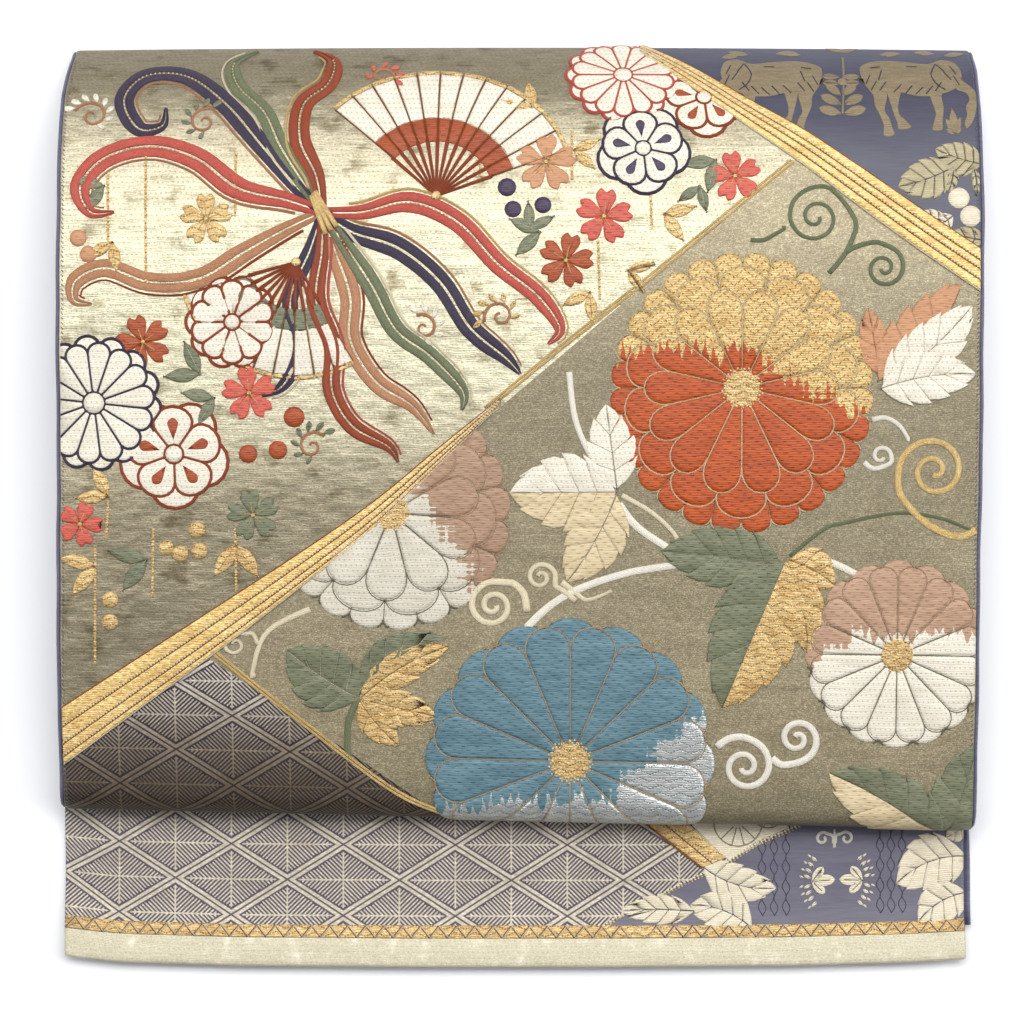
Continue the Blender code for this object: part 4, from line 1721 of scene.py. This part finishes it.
BUD_SCROLLS = each(
    BudScroll,
    (PEACH, WHITE, at(-144, 133.6), 6.4, 160, -1.3), (PEACH, GREEN, at(-106, 131), 5.7, 60, 1.3),
    (PEACH, GOLD, at(-6.4, 64), 5.7, 200, -1.3), (PEACH, GREEN, at(-69.3, 20.4), 5.4, 40, 1.3),
    (PEACH, CORAL, at(-46.8, 149.8), 5, 300, 1.3), (PEACH, WHITE, at(-31.8, 60), 5, 120, -1.2),
)


def weave_bud_scroll(loom: Loom, scroll: BudScroll) -> None:
    """Makes a curled stem and its buds, which lean the way it grows."""
    line = spiral(scroll.centre, scroll.outer, scroll.outer * 0.14, scroll.start, scroll.turns)
    loom[scroll.stem].cord(line, 1.3, 0.36, LOW, 0.7)
    along = distances(line)
    for s in np.arange(0.8, along[-1] * 0.74, 2.5):
        place = picked(s, along, line)
        out = (place - scroll.centre) / abs(place - scroll.centre)
        size = 2.0 + 2.2 * abs(place - scroll.centre) / scroll.outer
        heading = out * turn(-30 if scroll.turns > 0 else 30)
        foot = place + 0.6 * out
        loom[scroll.buds].pad(mirrored(foot, foot + heading * size, Petal.BUD, 2), 0.3, LOW, 0.12, 0.4)


def weave_festive_field(loom: Loom) -> None:
    """Makes the lame field's fans, ribbons, outlined flowers, blossoms, sprigs, drops and hanging threads."""
    for line in HANGING:
        loom[GOLD].dots(smooth(line, 4), 1.05, 0.6, GROUND)
    for scroll in BUD_SCROLLS:
        weave_bud_scroll(loom, scroll)
    for fan in FANS:
        weave_fan(loom, fan)
    weave_ribbons(loom)
    for flower in ROSETTES:
        weave_rosette(loom, flower)
    for blossom in BLOSSOMS:
        weave_blossom(loom, blossom)
    for yarn, foot, heading, size in SPRIGS:
        weave_sprig(loom, yarn, foot, heading, size)
    for yarn, centre, radius in DROPS:
        loom[yarn].dot(centre, radius, 0.3)


BAND_RISING = (
    trail(-157.5, -74, -153, -70.7, -103.8, -36.3, -73.4, -15.6, -48.2, 2.3, -26.5, 20.4, -6.4, 36.5),
    trail(-158.2, -95.2, -153.7, -91.6, -103.8, -52.4, -73.4, -27.6, -48.3, -6.6, -26.5, 14.4, -6.4, 34.5),
)
BAND_FALLING = (
    trail(41.4, 168, 54.5, 157.1, 74.7, 141.1, 95.7, 127.5, 115.1, 113.5, 134.9, 99.3, 156.5, 84.8),
    trail(41.2, 161.9, 54.1, 148, 74.4, 130.8, 95.5, 114.8, 115, 99.6, 134.9, 85.1, 156.6, 70.4),
)
FINE_EDGES = (
    trail(-11.1, 32.9, 13.6, 53.3, 43.4, 77, 66.7, 96.2, 90.9, 116.6),
    trail(-102.8, -50.3, -77.2, -71.2, -45.2, -96, -26.7, -105.7, -21.4, -111.3, 4, -127),
)


def weave_bands(loom: Loom) -> None:
    """Makes the gold bands and fine double edges that part the fields."""
    weave_band(loom, BAND, *BAND_RISING, (0, 0.34, 0.64, 0.86, 1))
    weave_band(loom, BAND, *BAND_FALLING, (0, 0.29, 0.5, 0.75, 1))
    for edge in FINE_EDGES:
        line = smooth(edge, 6)
        for side in (-0.55, 0.55):
            loom[GOLD].cord(beside(line, side), 1.0, 0.36, LOW)


# An animal's outlines and its marks (place and lean), in hundredths of its length from its middle.
BEAST_SHAPES = {
    "far_leg": trail(
        -25, -9, -11, -10, -11.6, -15.5, -14, -23.6, -13.5, -31, -7.5, -36, -2.2, -41.5, -15, -43, -16, -38,
        -18, -33.8, -21, -25.6, -23.5, -17.5,
    ),
    "front_leg": trail(
        15, -9, 31, -8, 28.5, -16.5, 30, -25.6, 28.4, -36, 27.5, -43.2, 17.5, -43, 21.5, -31.8, 20, -25.6,
        16.5, -15.5,
    ),
    "back_leg": trail(
        -46, -5, -27, -7, -24.5, -15.5, -25.7, -21.5, -27.5, -28.5, -23.5, -34, -20.5, -42, -19, -47.5, -29.5,
        -48, -29.5, -40, -33, -32, -37.5, -23.6, -38.6, -15.5,
    ),
    "neck": trail(
        42, 6, 50, -2, 59, -9, 63.5, -16, 62, -25, 60, -32, 56.5, -38, 51.5, -42, 49, -38, 52, -31, 51, -25,
        55, -19, 52, -13, 42, -9,
    ),
    "trunk": trail(
        -50, 0, -47, -5, -49, 10, -30, 17, -5, 16.5, 18, 14, 33, 19, 46, 15, 50, 2, 41, -10, 20, -16, 2, -16,
        -20, -11.5, -38, -12,
    ),
}
BEAST_STROKES = (
    (-42, -2, 60), (-37, -8, 55), (-28, -8, 50), (-14, -10, 40), (-3, -11, 45), (7, -12, 40), (17, -11, 45),
    (26, -8, 50), (-34, 10, 8), (-30, 2, 70), (2, 11, 0), (30, 10, -48), (36, 2, -50), (42, 8, -60),
    (44, -2, -60),
)


@dataclass(frozen=True)
class Beast:
    """A small grazing animal in one flat thread, drawn in lengths of its body from the body's middle."""

    middle: complex
    facing: int
    length: float = 34.5
    tall: float = 1.45

    def weave(self, loom: Loom) -> None:
        """Makes its body, legs and lowered neck, the sprig that it holds and its marks."""
        for order, shape in enumerate(BEAST_SHAPES.values()):
            self.lay(loom, smooth(shape / 100, 3, closed=True), 0.11 + 0.025 * order)
        for heading, reach in ((160, 0.1), (128, 0.15), (97, 0.2), (66, 0.14), (34, 0.08)):
            leaf = mirrored(0.4 - 0.46j, 0.4 - 0.46j + reach * turn(heading), Petal.LEAFLET, 2)
            self.lay(loom, leaf, 0.16)
        strokes = [
            complex(x, y) / 100 + 0.05 * turn(lean) * np.linspace(-1, 1, 4) for x, y, lean in BEAST_STROKES
        ]
        for stroke in [*strokes, smooth((0.26 + 0.14j, 0.2 + 0.04j, 0.24 - 0.05j, 0.33 - 0.11j), 3)]:
            if left_of(self.placed(stroke)[0], *FALL):
                loom[BEIGE].cord(self.placed(stroke), 0.5, 0.3, GROUND)

    def lay(self, loom: Loom, shape: Array, height: float) -> None:
        """Adds one flat pad of it, and ends the pad under the band that borders its field."""
        outline = self.placed(shape)
        if any(left_of(spot, *FALL) for spot in outline):
            loom[BEIGE].pad(tucked(outline, *FALL[::-1]), height, GROUND, 0.0, 0.3)

    def placed(self, line: Array) -> Array:
        """A line of the animal, in its lengths from its middle, at its place on the cloth."""
        return self.middle + self.length * (line.real * self.facing + 1j * line.imag * self.tall)


def weave_slate_field(loom: Loom) -> None:
    """Makes the slate field's animals, plant, leaves and berries in flat beige thread."""
    for beast in (Beast(at(85.1, 149.1), -1), Beast(at(131.9, 149.8), 1)):
        beast.weave(loom)
    stem = trail(108.2, 134.1, 110, 160.2)
    loom[BEIGE].pad(np.concatenate([stem - 0.4, stem[::-1] + 0.4]), **FLAT_PAD)
    loom[BEIGE].dot(at(108.7, 147.6), 1.7, 0.2, GROUND)
    for side in (-1, 1):
        for height, reach, rise in (
            (0, 7.6, 18), (3.8, 7.4, 30), (7.6, 6.4, 48), (12.7, 5.6, 4), (15.8, 5.6, 2)
        ):
            foot = stem[0] + 1j * height + side * 0.5
            tip = foot + reach * turn(rise if side > 0 else 180 - rise)
            loom[BEIGE].pad(mirrored(foot, tip, Petal.BUD, 2), **FLAT_PAD)
    for foot, tip, width in (
        (at(154.2, 115.7), at(138.7, 121.1), 12), (at(144.2, 114.3), at(126, 107.5), 14),
        (at(144.8, 114.3), at(142.7, 105.5), 4.3), (at(151.5, 114.3), at(152.3, 104.4), 3.3),
        (at(154.9, 89.5), at(143.2, 92.2), 7.4),
    ):
        weave_leaf(loom, Leaf(foot, tip, width, SAND, SAND, 0.04, 5 if width > 10 else 3, SAND, GROUND))
    for foot, tip in ((at(141.9, 95.6), at(133.6, 99.3)), (at(144.2, 97.6), at(137.9, 93.9))):
        weave_leaf(loom, Leaf(foot, tip, 5.7, IVORY, IVORY, 0.04, 3, IVORY, GROUND))
    for foot, heading in (
        (at(68.9, 159.6), 20), (at(78, 161.6), 164), (at(87.6, 162.4), 10), (at(95.7, 161.9), 170),
        (at(111.6, 164.3), 160), (at(108.8, 164.2), 20), (at(123, 162.4), 8), (at(141.5, 163.5), 172),
        (at(144.8, 162.2), 14),
    ):
        loom[BEIGE].pad(mirrored(foot, foot + 7.0 * turn(heading), Petal.LEAFLET, 2), **FLAT_PAD)
    for centre in (at(146.3, 103.8), at(150.2, 97.6)):
        loom[IVORY].dot(centre, 3.8, 0.16, GROUND, 16)


TAIL_SPLIT = trail(
    97.5, -109.6, 92.4, -112, 82.1, -116.4, 72.2, -122.9, 64, -126.6, 54.7, -131, 46.5, -135.4, 38.3, -139.1,
    29, -144.7,
)
TAIL_BAND = (trail(39.4, -104.4, 45.5, -109.6, 64, -124.5), trail(53.7, -104.5, 59.5, -109.7, 72.2, -121.1))
ZIGZAG_LOW, ZIGZAG_HIGH, ZIGZAG_PITCH = -148.3, -143.9, 6.2
TAIL_LEAVES = each(
    leaf_of,
    (64.7, -124.5, 89.3, -131.6, 13.8, IVORY, IVORY, -0.1, 5, IVORY, GROUND),
    (80.9, -145.1, 59.8, -137.2, 15.2, IVORY, IVORY, -0.1, 5, IVORY, GROUND),
    (60.9, -139.2, 36.2, -139.1, 10, IVORY, IVORY, -0.02, 5, IVORY, GROUND),
    (154.3, -122.4, 130.3, -131.1, 19.3, IVORY, IVORY, -0.12, 5, IVORY, GROUND),
    (154.2, -135, 137.6, -144.4, 15.2, IVORY, IVORY, -0.1, 4, IVORY, GROUND),
    (154.3, -112, 147.4, -115.8, 7.6, IVORY, IVORY, 0.0, 3, None, GROUND),
)


def weave_tail(loom: Loom) -> None:
    """Makes the tail's raised work: stitched edge, bands, leaves, wave cords, scroll, sprigs and zigzag."""
    line = smooth(TAIL_SPLIT, 5)
    loom[IVORY].dots(line, 1.25, 0.5, LOW)
    loom[GOLD].dots(beside(line, 0.8), 1.25, 0.4, GROUND)
    weave_band(loom, GOLD, *TAIL_BAND, (0, 0.45, 1), LOW)
    piece = trail(73.2, -122.2, 60.6, -110, 59.9, -105.2, 96.1, -105.5, 92.7, -111.3, 82.1, -116)
    loom[IVORY].pad(piece, **FLAT_PAD)
    for centre, radius in ((at(76.3, -108.8), 8.3), (at(86.6, -105.4), 5.5)):
        loom[VEIN].cord(arc(centre, radius, 180, 360, 14), 0.7, 0.26, GROUND)
        for heading in (225, 255, 285, 315):
            loom[VEIN].cord(centre + radius * turn(heading) * np.linspace(0.25, 1.0, 5), 0.55, 0.26, GROUND)
    for leaf in TAIL_LEAVES:
        weave_leaf(loom, leaf)
    v = np.linspace(-141, -104, 60)
    for u in (84.5, 88.6, 92.7, 124.9, 128.6, 132.4):
        for side in (-0.6, 0.6):
            loom[SAND].cord(u + side + 0.7 * np.sin(v / 1.1 + side * 3) + 1j * v, 0.4, 0.1, GROUND)
    weave_double_scroll(loom[WHITE], at(109.3, -114.7))
    for side in (-1, 1):
        weave_side_sprig(loom[IVORY], at(110.2, -129.6), side)
    corners = trail(-154.5, ZIGZAG_LOW, 154.5, ZIGZAG_LOW, 154.5, ZIGZAG_HIGH, -154.5, ZIGZAG_HIGH)
    loom[GOLD].pad(corners, 0.22, LOW, 0.08, 0.4)
    count = round(2 * TRIM_HALF_WIDTH / ZIGZAG_PITCH * 2)
    tooth = [
        complex(-TRIM_HALF_WIDTH + k * ZIGZAG_PITCH / 2, (ZIGZAG_LOW + 0.3, ZIGZAG_HIGH - 0.3)[k % 2])
        for k in range(count + 1)
    ]
    for a, b in zip(tooth, tooth[1:]):
        loom[BAND].cord(np.linspace(a, b, 4), 0.9, 0.36, LOW)
        loom[CREAM].cord(np.linspace(a, b, 4) + 0.5, 0.62, 0.42, LOW)


def weave_double_scroll(board: Board, centre: complex) -> None:
    """Makes two curls that part from one stem, in flat cords."""
    for side in (-1, 1):
        curl = spiral(4.1 - 0.2j, 2.5, 0.7, 140, -1.1)
        line = smooth(np.concatenate([trail(0.3, -1.9, 0.5, 0.6), curl[::2]]), 3)
        board.cord(centre + line.real * side + 1j * line.imag, 1.35, 0.22, GROUND, 0.8)
    board.cord(centre + 1j * np.linspace(-3.4, 3.0, 5), 1.2, 0.24, GROUND, 0.7)


def weave_side_sprig(board: Board, middle: complex, side: int) -> None:
    """Makes one of a pair of sprigs: three veined leaves toward the middle, and leaflets bowed away."""
    foot = middle + side * 8.6
    for lean, reach in ((52, 6.2), (4, 7.8), (-44, 6.0)):
        heading = turn(180 - lean if side > 0 else lean)
        board.pad(mirrored(foot, foot + reach * heading, Petal.BUD, 4), **FLAT_PAD)
        board.cord(foot + reach * heading * np.linspace(0.15, 0.8, 5), 0.4, 0.2, GROUND)
    for bow, size in ((-0.6, 2.9), (1.8, 1.9)):
        for rise in np.linspace(-36, 36, 8):
            bowed = (12 + bow) * turn(rise)
            spot = foot + side * (-11 + bowed.real) + 1j * bowed.imag
            degrees = 90 - side * (66 - rise * 0.6) if rise >= 0 else -90 + side * (66 + rise * 0.6)
            tip = spot + size * turn(degrees)
            board.pad(mirrored(spot, tip, Petal.LEAFLET, 2), **FLAT_PAD)


# Painted reflection and shade of the lame: brightest in the middle of the drum's face, duller towards its top
# and its lower part, where the metal threads would reflect less light.
PAINTED_LAME_LIGHT = (
    (-88.8, 0.6), (-53.5, 0.47), (-18.5, 0.46), (5.6, 0.52), (25.8, 0.82), (49.3, 1.0), (82.8, 1.0),
    (109.9, 0.86), (133.7, 0.6), (164.2, 0.34),
)
LAME = Finish(
    "pale_gold_lame", LAME_THREAD, DULL_LAME, Patches(9.0, 0.5, 1.1, 0.25), relief=0.06, crumple=0.25,
    shade=PAINTED_LAME_LIGHT, warmth=0.1,
)
# Painted shade and sheen of the olive ground: darkest on the roll at the drum's bottom, brightest towards its
# top.
PAINTED_OLIVE_LIGHT = (
    (-115.8, 0.36), (-105.5, 0.48), (-92.3, 0.66), (-67.6, 0.76), (-18.5, 0.68), (35.9, 0.62), (59.3, 0.72),
    (92.9, 0.98), (120.6, 1.0),
)
# Painted shade of the drum's lattice: darker and warmer towards the roll at the drum's bottom.
PAINTED_LATTICE_SHADE = (
    (-112.3, 0.14), (-101, 0.15), (-95.8, 0.19), (-88.8, 0.29), (-81.8, 0.42), (-74.7, 0.62), (-67.6, 0.85),
    (-53.5, 1.0),
)
OLIVE = Finish(
    "olive_gold_ground", OLIVE_THREAD,
    Thread("c0b493", "9b8e70", metal=0.12, pitch=0.62, glint=0.75, grain=0.42), Patches(22.0, 0.5),
    relief=0.08, shade=PAINTED_OLIVE_LIGHT,
)
# The drum's lattice: a darker ground than the tail's, as painted shade, with painted shade along its length
# too.
SHADED_LATTICE = Finish(
    "lattice_ground", SHADED_LILAC_THREAD, FOIL_THREAD, Lattice(at(-96.3, -73)), relief=0.06, shade=PAINTED_LATTICE_SHADE,
    warmth=0.12,
)
# The drum's slate satin: darker copies of the tail's slate threads, as painted shade.
SLATE = Finish(
    "slate_satin", SHADED_SLATE_THREAD, Thread("4e4e5f", "434353", rough=0.42, pitch=0.55, length=14.0, rib=0.3),
    Patches(16.0, 0.45), relief=0.06,
)
TAIL_SLATE = Finish(
    "tail_slate_satin", SLATE_THREAD,
    Thread("6c6a78", "5a5868", rough=0.42, pitch=0.55, length=14.0, rib=0.3), Patches(16.0, 0.45),
    relief=0.06,
)
TAIL_LATTICE = Finish(
    "tail_lattice_ground", LILAC_THREAD, PALE_THREAD, Lattice(at(-97, -116.4)), relief=0.08, crumple=0.05
)
TAIL_END = Finish(
    "pale_gold_end",
    Thread(
        "cfc8ae", "bcb499", metal=0.1, rough=0.45, pitch=0.5, length=2.0, rib=0.7, glint=0.25, grain=0.4,
        bind=Bind.POINTS, bound=0.85,
    ),
    Thread("e4deca", "cfc7af", metal=0.1, rough=0.45, pitch=0.5, glint=0.25, grain=0.4),
    Patches(8.0, 0.5, 0.7, 0.2), relief=0.06, crumple=0.06,
)
BACK_SILK = Finish(
    "navy_back_silk", Thread("606077", "4a4960", rough=0.5, pitch=0.6, length=10.0, rib=0.5), relief=0.12,
    sheen=0.1,
)
FOLD_SILK = Finish(
    "folded_brocade",
    Thread("9a8f68", "6f6648", metal=0.2, rough=0.55, pitch=0.7, length=6.0, rib=0.6, glint=0.2),
)
SEAM_SILK = Finish("seam_stitches", twist("7d7b86", "63616f"))


RISE_LOW = (at(-153.4, -81.8), at(-48.2, -2.2))
RISE_HIGH = (at(-48.2, -2.2), at(90.9, 116.3))
LATTICE_EDGE = (at(-77.2, -71.2), at(-26.7, -105.7))


def drum_zone(place: complex) -> int:
    """Which of the drum's grounds is there: lame, olive, lattice or slate."""
    if left_of(place, *FALL):
        return 3
    if left_of(place, *RISE_LOW) and left_of(place, *RISE_HIGH):
        return 0
    return 1 if left_of(place, *LATTICE_EDGE) else 2


TAIL_EDGE = (at(92.4, -112), at(30.7, -144.1))


def tail_zone(place: complex) -> int:
    """Which of the tail's grounds is there: lattice, slate or the plain end."""
    if place.imag < ZIGZAG_LOW:
        return 2
    return 0 if left_of(place, *TAIL_EDGE[::-1]) else 1


@dataclass(frozen=True)
class ClothPanel:
    """One cloth of the sash: a thin sheet laid on a surface, its long edges turned down or rolled up."""

    name: str
    surface: Surface
    low_u: float
    high_u: float
    depth: float
    finishes: tuple[Finish, ...]
    zone: Optional[Callable[[complex], int]] = None
    cuts: tuple[tuple[complex, complex], ...] = ()
    rolled: bool = False
    lowest: Optional[float] = None
    column: float = 3.4
    wall: float = 0.9

    def build(self) -> Object:
        """Makes the cloth and gives its piece."""
        rows = self.surface.rows(9, 5.5)[::-1]
        rows = rows[rows > self.lowest] if self.lowest else rows
        columns = self.columns()
        bm = bmesh.new()
        for vert, (i, j) in add_grid(bm, len(columns), len(rows)).items():
            u = columns[i] + self.waver(rows[j]) * (abs(columns[i]) > SASH.front_half - 6)
            vert.co = (u, rows[j], self.height(columns[i]))
        for start, end in self.cuts:
            cut_along(bm, start, end)
        dress(bm.faces, 0, bm.loops.layers.uv.new("cloth"), flat_place)
        for face in bm.faces if self.zone else ():
            face.material_index = self.zone(complex(*face.calc_center_median().xy))
        piece = laid_piece(self.name, bm, self.surface, self.finishes)
        wall = piece.modifiers.new("cloth_wall", "SOLIDIFY")
        wall.thickness = self.wall * MM
        wall.offset = -1.0
        return piece

    def columns(self) -> Array:
        """The values of u where the sheet has its columns, closer at its edges."""
        inner = np.arange(self.low_u + 2.4, self.high_u - 2.0, self.column)
        rim = np.array([0.0, 0.35, 0.7, 1.1, 1.6])
        return np.concatenate([self.low_u + rim, inner, self.high_u - rim[::-1]])

    def height(self, u: float) -> float:
        """How high the sheet lies at that column."""
        inside = min(u - self.low_u, self.high_u - u)
        if self.rolled:
            return -self.depth + 0.85 * math.exp(-(((inside - 0.75) / 0.55) ** 2))
        return -self.depth - 0.4 * max(0.0, 1 - inside / 1.0) ** 2

    def waver(self, v: float) -> float:
        """How unevenly the long edges run."""
        return 0.12 * math.sin(v / 13.0) + 0.1 * math.sin(v / 5.1 + 1.0) - 0.1


@dataclass(frozen=True)
class SeamStitches:
    """The small slanting stitches that hold the back cloth to the front one, along both edges."""

    spacing: float = 1.6
    length: float = 1.0

    def build(self) -> Object:
        """Makes the drum's stitches as one piece."""
        board = Board()
        for side in (-1, 1):
            for v in np.arange(-108.0, 160.0, self.spacing):
                spot = at(side * (SASH.front_half - 0.9), v)
                board.cord(
                    spot + self.length * turn(90 - 40 * side) * np.linspace(-0.5, 0.5, 4), 0.34, 0.16, GROUND
                )
        return board.lay("seam_stitches", DRUM, (SEAM_SILK, SEAM_SILK))


@dataclass(frozen=True)
class FoldedRest:
    """The rest of the sash, folded to and fro inside the drum: pairs of cloths with soft round folds."""

    pitch: float = 2.39
    wall: float = 1.02
    clearance: float = 0.35
    half_width: float = 153.0
    steps: int = 48

    def build(self) -> Object:
        """Makes the folded layers as one piece."""
        side = DRUM.side - DRUM.outward * (SASH.thickness + self.clearance)
        floor, ceiling = 2 * (SASH.thickness + 0.3) + 0.05, side.imag.max() - SASH.side_drop
        bm = bmesh.new()
        uv = bm.loops.layers.uv.new("cloth")
        for k in range(int((ceiling - floor) / self.pitch)):
            base = floor + k * self.pitch
            low, high = self.room(side, base, base + self.pitch)
            for cloth in (0, 1):
                z = base + 0.12 + cloth * (self.pitch / 2)
                inset = 0.3 + 0.9 * (k % 2) + 0.35 * math.sin(k * 2.3 + cloth)
                centre = Vector((0.0, (low + high) / 2, z + self.wall / 2))
                self.layer(bm, uv, centre, high - low - 0.4, inset, cloth, k)
        for vert in bm.verts:
            u, y, z = (np.array([value]) for value in vert.co)
            vert.co = [float(value[0]) * MM for value in DRUM.place(u, y, z)]
        return laid_piece("folded_rest", bm, None, (FOLD_SILK, BACK_SILK))

    def layer(
        self, bm: BMesh, uv: object, centre: Vector, length: float, inset: float, cloth: int, seed: int
    ) -> None:
        """Adds one cloth of one fold.

        Args:
            bm: the mesh of all of them.
            uv: its UV layer.
            centre: the layer's middle.
            length: how long it is.
            inset: how far its long edges stay inside.
            cloth: its finish's index.
            seed: which fold it is, for its waves.
        """
        reach, thick = self.half_width - inset, self.wall / 2
        ends = [
            (1 - 0.4 / reach, -1.0), (1 - 0.1 / reach, -0.7), (1.0, 0.0), (1 - 0.1 / reach, 0.7),
            (1 - 0.4 / reach, 1.0),
        ]
        section = [*ends, *((-x, z) for x, z in reversed(ends)), ends[0]]
        made = add_grid(bm, self.steps + 1, len(section))
        for vert, (_, j) in made.items():
            y = vert.co.x * length / 2
            x, z = section[j]
            tuck = 0.55 if abs(vert.co.x) > 0.999 else 1.0
            wave = 0.32 * math.sin(y / 17 + seed * 1.7) + 0.18 * math.sin(y / 6.3 + seed)
            vert.co = centre + Vector((x * reach + (wave if x > 0 else -wave), y, z * thick * tuck))
        faces = close_tube(bm, made)
        bmesh.ops.recalc_face_normals(bm, faces=list(faces))
        dress(faces, cloth, uv, lambda vert: (vert.co.y * MM, (vert.co.x + vert.co.z) * MM))

    @staticmethod
    def room(side: Array, low: float, high: float) -> tuple[float, float]:
        """The lowest and highest y that are inside the side line at both heights."""
        spans = []
        for z in (low, high):
            steps = [(a, b - a) for a, b in zip(side, side[1:]) if (a.imag - z) * (b.imag - z) < 0]
            ys = [start.real + step.real * (z - start.imag) / step.imag for start, step in steps]
            spans.append((min(ys), max(ys)))
        return max(span[0] for span in spans), min(span[1] for span in spans)


def set_stage() -> None:
    """Adds the pale floor, the soft lights and the camera."""
    bm = bmesh.new()
    bmesh.ops.create_grid(bm, x_segments=1, y_segments=1, size=1.6)
    mesh = bpy.data.meshes.new("floor")
    bm.to_mesh(mesh)
    bm.free()
    paper = bpy.data.materials.new("pale_floor")
    paper.use_nodes = True
    values = {"Base Color": linear("f4f5f8"), "Roughness": 0.9, "Specular IOR Level": 0.1}
    for name, value in values.items():
        paper.node_tree.nodes["Principled BSDF"].inputs[name].default_value = value
    mesh.materials.append(paper)
    floor = added("floor", mesh)
    for name, place, size, power in (
        ("main_box", (0.06, 0.75, 1.6), (1.9, 0.85), 33.3),
        ("right_box", (1.3, 0.1, 0.9), (0.8, 1.2), 13.5),
        ("left_box", (-1.3, 0.1, 0.9), (0.8, 1.2), 9.8),
    ):
        data = bpy.data.lights.new(name, "AREA")
        data.shape = "RECTANGLE"
        data.size, data.size_y = size
        data.energy = power
        lamp = added(name, data)
        lamp.location = place
        lamp.rotation_euler = Vector(place).to_track_quat("Z", "Y").to_euler()
    world = bpy.data.worlds.new("room")
    world.use_nodes = True
    for name, value in {"Color": linear("eef0f6"), "Strength": 0.1}.items():
        world.node_tree.nodes["Background"].inputs[name].default_value = value
    bpy.context.scene.world = world
    bpy.context.scene.view_settings.view_transform = "Standard"
    lens = bpy.data.cameras.new("camera")
    lens.lens, lens.sensor_width = 112.7, 36.0
    camera = added("camera", lens)
    camera.location = (-0.00224, -0.00103, 1.1023)
    bpy.context.scene.camera = camera


def main() -> None:
    """Builds the sash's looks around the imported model."""
    logging.basicConfig(level=logging.INFO, format="%(name)s %(message)s")
    set_stage()
    half = SASH.half_width
    drum_front = ClothPanel(
        "drum_front_brocade", DRUM, -SASH.front_half, SASH.front_half, 0.0,
        (LAME, OLIVE, SHADED_LATTICE, SLATE), drum_zone,
        (RISE_LOW, RISE_HIGH, FALL, LATTICE_EDGE),
    ).build()
    drum_back = ClothPanel(
        "drum_back_silk", DRUM, -half, half, SASH.layer, (BACK_SILK,), rolled=True, column=12.0
    ).build()
    tail_front = ClothPanel(
        "tail_front_brocade", TAIL, -SASH.front_half, SASH.front_half, 0.0,
        (TAIL_LATTICE, TAIL_SLATE, TAIL_END), tail_zone,
        (TAIL_EDGE, (at(-10, ZIGZAG_LOW), at(10, ZIGZAG_LOW))),
    ).build()
    tail_back = ClothPanel(
        "tail_back_silk", TAIL, 1.4 - half, half + 0.8, SASH.layer, (BACK_SILK,),
        rolled=True, lowest=-150.9, column=12.0,
    ).build()
    rest = FoldedRest().build()
    loom = Loom(DRUM, "drum")
    flowers = weave_garden(loom)
    weave_festive_field(loom)
    weave_bands(loom)
    weave_slate_field(loom)
    drum_work = [*loom.lay(), *flowers, SeamStitches().build()]
    tail_loom = Loom(TAIL, "tail")
    weave_tail(tail_loom)
    tail_work = tail_loom.lay()
    for piece, node, slot in (
        (drum_front, "drum_front_cloth", "front_brocade"), (drum_back, "drum_back_cloth", "navy_silk"),
        (tail_front, "tail_front_cloth", "gold_brocade"), (tail_back, "tail_back_cloth", "navy_silk"),
        (rest, "inner_folds", "folded_sash"),
    ):
        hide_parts(node)
    drum_length, tail_length = float(DRUM.along[-1]) * MM, float(TAIL.along[-1]) * MM


if __name__ == "__main__":
    main()
